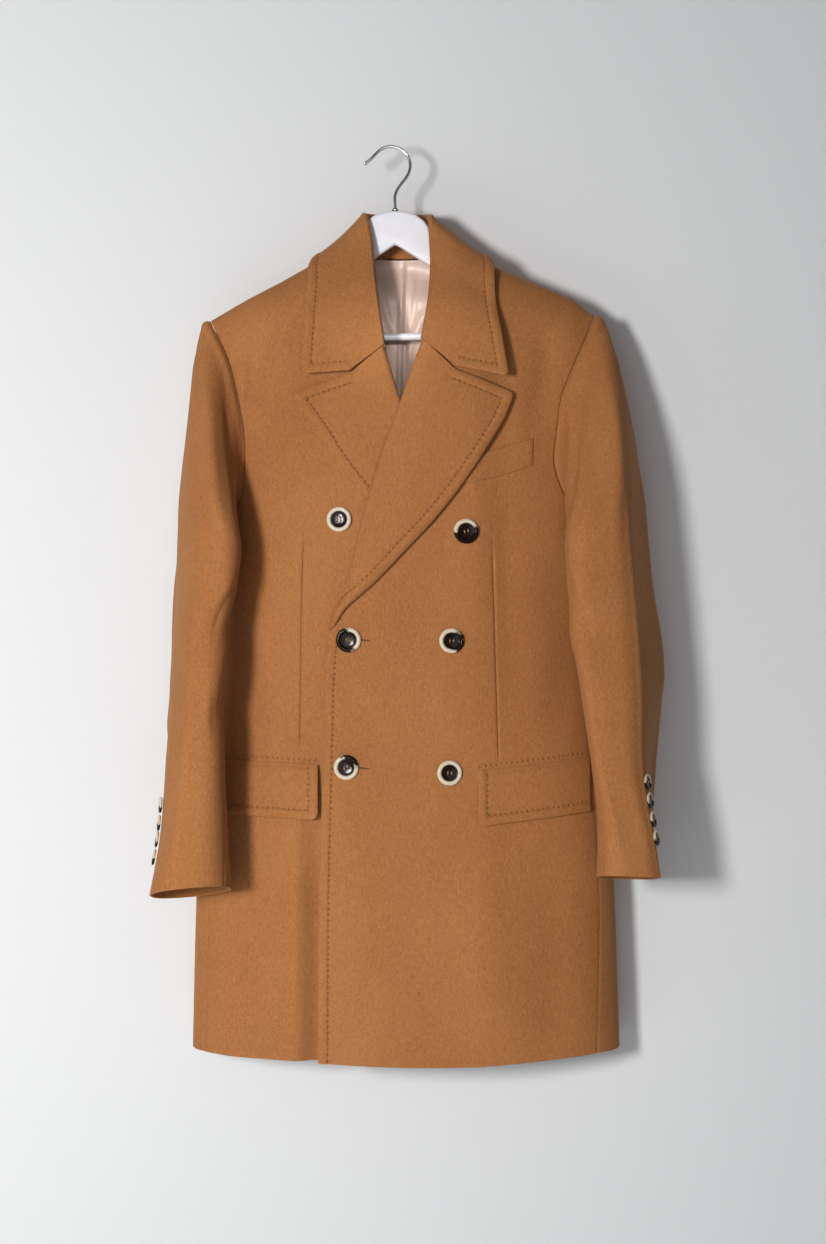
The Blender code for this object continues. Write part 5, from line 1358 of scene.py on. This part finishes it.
def melton_finish(name):
    made, tree, shader = new_finish(name)
    place = tree.nodes.new("ShaderNodeTexCoord").outputs["Object"]
    fibres = cloud(tree, place, 760.0, 3.0)
    nap = cloud(tree, place, 390.0, 3.0, (1.0, 1.0, 0.55))
    hands = cloud(tree, place, 11.0, 3.0, (1.0, 1.0, 0.6))
    mixed = plus(tree, times(tree, fibres, 0.50), times(tree, nap, 0.30))
    mixed = plus(tree, mixed, times(tree, hands, 0.22))
    colour = blend_colours(tree, soft_range(tree, mixed, 0.32, 0.70), CAMEL_DEEP, CAMEL_LIT)
    edge = node(tree, "ShaderNodeUVMap", {"uv_map": "edge"}).outputs[0]
    parts = node(tree, "ShaderNodeSeparateXYZ", None, Vector=edge)
    across = arithmetic(tree, "ABSOLUTE", arithmetic(tree, "SUBTRACT", parts.outputs[0], STITCH_LINE))
    wobble = times(tree, arithmetic(tree, "SUBTRACT", cloud(tree, place, 120.0), 0.5), 0.35)
    step = plus(tree, arithmetic(tree, "DIVIDE", parts.outputs[1], STITCH_PITCH), wobble)
    step = arithmetic(tree, "SUBTRACT", arithmetic(tree, "FRACT", step), 0.5)
    along_stitch = soft_range(tree, arithmetic(tree, "ABSOLUTE", step), *STITCH_ALONG)
    stitch = times(tree, soft_range(tree, across, *STITCH_ACROSS), along_stitch)
    # Painted shade darkens the cloth in each stitch's dimple.
    colour = blend_colours(tree, times(tree, stitch, 0.42), colour, STITCH_DIMPLE_SHADE)
    tree.links.new(colour, shader.inputs["Base Color"])
    rough = plus(tree, 0.82, times(tree, nap, 0.15))
    tree.links.new(rough, shader.inputs["Roughness"])
    shader.inputs["Specular IOR Level"].default_value = 0.12
    shader.inputs["Sheen Weight"].default_value = 0.16
    shader.inputs["Sheen Roughness"].default_value = 0.40
    shader.inputs["Sheen Tint"].default_value = (1.0, 0.66, 0.36, 1.0)
    height = plus(tree, times(tree, fibres, 0.6), times(tree, nap, 0.5))
    felt = node(tree, "ShaderNodeBump", None, Strength=0.8, Distance=0.0009, Height=height).outputs[0]
    pull = {"Strength": 0.9, "Distance": 0.0010, "Height": stitch, "Normal": felt}
    sunk = node(tree, "ShaderNodeBump", {"invert": True}, **pull).outputs[0]
    tree.links.new(sunk, shader.inputs["Normal"])
    return made


melton = melton_finish("camel_melton")
print("stitches every", STITCH_PITCH, "m")

# %% [markdown]
# ## Satin
# Satin's long floats lie one way, so its gloss is streaked across them. A small rectangle near the top of
# the lining is blended towards a slightly deeper tone.

# %% Satin
SATIN_LIT, SATIN_DEEP = (0.740, 0.540, 0.445, 1.0), (0.620, 0.440, 0.355, 1.0)
# A small rectangle of the satin, and the deeper tone it is blended towards.
DARK_PATCH_PLACE, DARK_PATCH_COLOUR = ((0.024, 0.043), (-0.178, -0.150)), (0.50, 0.34, 0.27, 1.0)


def satin_finish():
    made, tree, shader = new_finish("lining_satin")
    place = tree.nodes.new("ShaderNodeTexCoord").outputs["Object"]
    floats = cloud(tree, place, 700.0, 3.0, (0.15, 1.0, 1.0))
    clouds = cloud(tree, place, 22.0, 2.0)
    colour = blend_colours(tree, soft_range(tree, clouds, 0.3, 0.7), SATIN_DEEP, SATIN_LIT)
    parts = node(tree, "ShaderNodeSeparateXYZ", None, Vector=place)
    inside = 1.0
    for axis, (low, high) in zip((0, 2), DARK_PATCH_PLACE):
        value = parts.outputs[axis]
        inside = times(tree, inside, soft_range(tree, value, low, low + 0.0006))
        inside = times(tree, inside, soft_range(tree, value, high, high - 0.0006))
    colour = blend_colours(tree, times(tree, inside, 0.35), colour, DARK_PATCH_COLOUR)
    tree.links.new(colour, shader.inputs["Base Color"])
    tree.links.new(soft_range(tree, floats, 0.2, 0.8, 0.30, 0.48), shader.inputs["Roughness"])
    shader.inputs["Sheen Weight"].default_value = 0.2
    bump = node(tree, "ShaderNodeBump", None, Strength=0.25, Distance=0.0003, Height=floats).outputs[0]
    tree.links.new(bump, shader.inputs["Normal"])
    return made


satin = satin_finish()
print("satin made")

# %% [markdown]
# ## Horn, thread, paint and chrome
# Horn is black and ivory that runs in clouds, and each button is cut from its own place in it, so its rim is
# pale on its own side. The wood is sprayed white, with a faint orange peel. The hook is plated, and its
# colour
# is painted reflection: bright where it faces you and dark at its outlines. It is only dulled by fine wiping.

# %% Horn and thread
HornPlace = namedtuple("HornPlace", "x z ivory")
HORN = {  # the side on which each rim is ivory, and how much of it: above 1 is all round
    "front_button_1": HornPlace(0.2, -0.6, 1.25),
    "front_button_2": HornPlace(-0.3, 1.0, -0.10),
    "front_button_3": HornPlace(1.0, 0.3, -0.05),
    "front_button_4": HornPlace(-0.8, 0.2, 0.45),
    "front_button_5": HornPlace(-0.5, -0.8, 0.75),
    "front_button_6": HornPlace(-0.4, -0.3, 1.05),
}


def horn_finish(name, centre, radius, patch):
    made, tree, shader = new_finish(name)
    place = tree.nodes.new("ShaderNodeTexCoord").outputs["Object"]
    away = vector_math(tree, "SUBTRACT", place, tuple(centre))
    distance = vector_math(tree, "LENGTH", away, output="Value")
    heading = vector_math(tree, "NORMALIZE", away)
    dot = vector_math(tree, "DOT_PRODUCT", heading, (patch.x, 0.0, patch.z), output="Value")
    drift = times(tree, arithmetic(tree, "SUBTRACT", cloud(tree, place, 150.0, 3.0), 0.5), 1.6)
    share = plus(tree, plus(tree, dot, drift), patch.ivory)
    ring = soft_range(tree, distance, radius * 0.63, radius * 0.74)
    mask = times(tree, ring, soft_range(tree, share, -0.05, 0.35))
    grain = cloud(tree, place, 420.0, 3.0)
    dark = blend_colours(tree, grain, (0.003, 0.002, 0.002, 1.0), (0.018, 0.010, 0.007, 1.0))
    pale = blend_colours(tree, grain, (0.42, 0.33, 0.22, 1.0), (0.80, 0.72, 0.58, 1.0))
    tree.links.new(blend_colours(tree, mask, dark, pale), shader.inputs["Base Color"])
    tree.links.new(soft_range(tree, grain, 0.2, 0.8, 0.10, 0.20), shader.inputs["Roughness"])
    shader.inputs["Specular IOR Level"].default_value = 0.11
    bump = node(tree, "ShaderNodeBump", None, Strength=0.15, Distance=0.0002, Height=grain).outputs[0]
    tree.links.new(bump, shader.inputs["Normal"])
    return made


def plain_finish(name, first, second, scale, rough, bump=0.1):
    """Two close tones that drift over the piece, with a fine bump."""
    made, tree, shader = new_finish(name)
    place = tree.nodes.new("ShaderNodeTexCoord").outputs["Object"]
    drift = cloud(tree, place, scale, 3.0)
    tree.links.new(blend_colours(tree, drift, first, second), shader.inputs["Base Color"])
    tree.links.new(soft_range(tree, drift, 0.25, 0.75, *rough), shader.inputs["Roughness"])
    fine = cloud(tree, place, scale * 6.0, 2.0)
    height = node(tree, "ShaderNodeBump", None, Strength=bump, Distance=0.0003, Height=fine).outputs[0]
    tree.links.new(height, shader.inputs["Normal"])
    return made


def chrome_painted_reflection_finish(name):
    """Bright plating whose colour is painted reflection: it turns dark towards its outlines, as a polished
    wire does in a pale room.
    """
    made, tree, shader = new_finish(name)
    place = tree.nodes.new("ShaderNodeTexCoord").outputs["Object"]
    wiped = cloud(tree, place, 200.0, 3.0)
    bright = blend_colours(tree, wiped, (0.78, 0.78, 0.79, 1.0), (0.92, 0.92, 0.93, 1.0))
    outline = node(tree, "ShaderNodeLayerWeight", None, Blend=0.50).outputs["Facing"]
    # Painted reflection: the base colour goes dark towards the wire's outlines.
    painted_reflection = blend_colours(tree, soft_range(tree, outline, 0.22, 0.62), bright, (0.03, 0.03, 0.035, 1.0))
    tree.links.new(painted_reflection, shader.inputs["Base Color"])
    tree.links.new(soft_range(tree, wiped, 0.25, 0.75, 0.07, 0.17), shader.inputs["Roughness"])
    shader.inputs["Metallic"].default_value = 1.0
    return made


WHITE = (0.74, 0.73, 0.78, 1.0), (0.80, 0.79, 0.83, 1.0)
TAN_THREAD = (0.300, 0.190, 0.090, 1.0), (0.620, 0.430, 0.230, 1.0)
DARK_THREAD = (0.045, 0.018, 0.008, 1.0), (0.110, 0.045, 0.018, 1.0)
white_paint = plain_finish("white_paint", *WHITE, 60.0, (0.28, 0.40), bump=0.08)
chrome = chrome_painted_reflection_finish("hook_chrome")
button_thread = plain_finish("button_thread", *TAN_THREAD, 900.0, (0.6, 0.8), bump=0.5)
hole_thread = plain_finish("buttonhole_thread", *DARK_THREAD, 900.0, (0.7, 0.9), bump=0.5)
print("finishes", len(bpy.data.materials))

# %% [markdown]
# ## Finishes on pieces, and what each piece stands for
# Every piece rides on the coat's one body and stands for its frame solid, which is hidden. The table also
# lists each sheet's slot and the size it was cut to. Widths and lengths are those of the flat paper pattern
# with its seams.

# %% Dress the pieces
Cut = namedtuple("Cut", "piece width length area nodes slot finish")
CUTS = [
    Cut("front_right", 0.34, 0.98, 0.270, ("front_right",), "melton", melton),
    Cut("front_left", 0.37, 0.98, 0.290, ("front_left",), "melton", melton),
    Cut("back_right", 0.28, 0.96, 0.230, ("back_right",), "melton", melton),
    Cut("back_left", 0.28, 0.96, 0.230, ("back_left",), "melton", melton),
    Cut("top_sleeve_right", 0.21, 0.67, 0.110, ("top_sleeve_right",), "melton", melton),
    Cut("under_sleeve_right", 0.20, 0.62, 0.095, ("under_sleeve_right",), "melton", melton),
    Cut("top_sleeve_left", 0.22, 0.66, 0.115, ("top_sleeve_left",), "melton", melton),
    Cut("under_sleeve_left", 0.21, 0.61, 0.100, ("under_sleeve_left",), "melton", melton),
    Cut("lapel_right", 0.13, 0.33, 0.020, ("lapel_right",), "melton", melton),
    Cut("lapel_left", 0.13, 0.34, 0.026, ("lapel_left",), "melton", melton),
    Cut("collar", 0.15, 0.50, 0.060, ("collar_fall", "collar_stand"), "melton", melton),
    Cut("flap_right", 0.12, 0.065, 0.0076, ("flap_right",), "melton", melton),
    Cut("flap_left", 0.14, 0.065, 0.0088, ("flap_left",), "melton", melton),
    Cut("breast_welt", 0.11, 0.033, 0.0034, ("breast_welt",), "melton", melton),
    Cut("back_lining", 0.18, 0.27, 0.046, ("back_lining",), "satin", satin),
]
for cut in CUTS:
    piece = sheets[cut.piece]
    piece.data.materials.clear()
    piece.data.materials.append(cut.finish)
    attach(piece, "root")
    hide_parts(*cut.nodes)
for name, (horn, thread, where, radius) in button_places.items():
    patch = HORN.get(name, HornPlace(0.0, 1.0, 0.25))
    polished = horn_finish(f"{name}_finish", where, radius, patch)
    for piece, finish in ((horn, polished), (thread, button_thread)):
        piece.data.materials.clear()
        piece.data.materials.append(finish)
        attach(piece, "root")
        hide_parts(name)
for name, piece in hanger_parts.items():
    metal = name in ("hanger_hook", "hanger_ferrule")
    piece.data.materials.clear()
    piece.data.materials.append(chrome if metal else white_paint)
    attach(piece, "root")
    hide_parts(name)
for bar in holes:
    bar.data.materials.append(hole_thread)
    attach(bar, "root")
print(len(CUTS), "sheets,", len(button_places), "buttons,", len(hanger_parts), "hanger pieces")

# %% [markdown]
# ## Floor and backdrop
# A coat on a hanger is best seen against a plain pale wall close behind it, so that its soft shadow tells how
# deep it is. The wall is only there from the front: from behind it can't be seen, and it stops no light, so
# nothing hides the back or darkens it.

# %% Stage
def stage_plane(name, size, location, turn):
    bpy.ops.object.select_all(action="DESELECT")
    bpy.ops.mesh.primitive_plane_add(size=size, location=location, rotation=turn)
    made = bpy.context.object
    made.name = name
    return made


FLOOR_PAINT = (0.62, 0.63, 0.64, 1.0), (0.66, 0.67, 0.68, 1.0)
WALL_PAINT = (0.640, 0.650, 0.660, 1.0), (0.660, 0.670, 0.680, 1.0)
floor = stage_plane("floor", 12.0, (0.0, 0.0, -1.6), (0.0, 0.0, 0.0))
floor.data.materials.append(plain_finish("pale_floor", *FLOOR_PAINT, 3.0, (0.7, 0.8)))
wall = stage_plane("backdrop", 8.0, (0.0, 0.078, 1.0), (np.radians(90.0), 0.0, 0.0))
paint = plain_finish("pale_wall", *WALL_PAINT, 2.0, (0.75, 0.85))
tree = paint.node_tree
shader = next(found for found in tree.nodes if found.type == "BSDF_PRINCIPLED")
output = next(found for found in tree.nodes if found.type == "OUTPUT_MATERIAL")
gone = tree.nodes.new("ShaderNodeBsdfTransparent")
behind = tree.nodes.new("ShaderNodeNewGeometry").outputs["Backfacing"]
choice = node(tree, "ShaderNodeMixShader", None, i0=behind, i1=shader.outputs[0], i2=gone.outputs[0])
tree.links.new(choice.outputs[0], output.inputs["Surface"])
wall.data.materials.append(paint)
wall.visible_shadow = False
facing = wall.matrix_world.to_3x3() @ wall.data.polygons[0].normal
print("wall faces", tuple(round(value, 2) for value in facing))

# %% [markdown]
# ## Light and camera
# The key light stands level with the coat on the left and is aimed past it, so the coat gets the soft edge
# of its beam and is brighter towards it. A large soft fill stands by the camera, a small spot reaches into
# the neck, where the collar would leave the satin dark, and a last light falls on the back.

# %% Light and camera
def add_light(name, kind, location, target, **settings):
    data = bpy.data.lights.new(name, kind)
    for setting, value in settings.items():
        setattr(data, setting, value)
    lamp = bpy.data.objects.new(name, data)
    bpy.context.scene.collection.objects.link(lamp)
    lamp.location = location
    lamp.rotation_euler = (Vector(target) - Vector(location)).to_track_quat("-Z", "Y").to_euler()


def disc_light(name, location, target, size, power, colour):
    add_light(name, "AREA", location, target, shape="DISK", size=size, energy=power, color=colour)


disc_light("key", (-1.00, -2.74, -0.42), (-1.56, -1.14, -0.84), 0.50, 88.0, (1.0, 0.985, 0.965))
disc_light("fill", (-0.25, -3.20, -0.50), (0.0, 0.0, -0.55), 1.9, 17.0, (0.96, 0.98, 1.0))
disc_light("back_fill", (0.0, 2.60, 0.60), (0.0, 0.0, -0.50), 2.4, 30.0, (1.0, 1.0, 1.0))
narrow = {"energy": 105.0, "spot_size": np.radians(2.9), "spot_blend": 0.8, "shadow_soft_size": 0.05}
add_light("neck_light", "SPOT", (-0.04, -2.40, -0.14), (-0.004, 0.030, -0.232), **narrow)
world = bpy.data.worlds.new("pale_room")
world.use_nodes = True
world.node_tree.nodes["Background"].inputs[0].default_value = (0.86, 0.90, 0.96, 1.0)
world.node_tree.nodes["Background"].inputs[1].default_value = 0.10
bpy.context.scene.world = world
bpy.context.scene.view_settings.view_transform = "Standard"
camera_data = bpy.data.cameras.new("camera")
camera_data.lens, camera_data.sensor_width = 64.3, 36.0
camera = bpy.data.objects.new("camera", camera_data)
bpy.context.scene.collection.objects.link(camera)
camera.location = (0.023, -2.600, -0.555)
camera.rotation_euler = (np.radians(90.0), 0.0, 0.0)
bpy.context.scene.camera = camera
print("camera", tuple(round(value, 3) for value in camera.location))
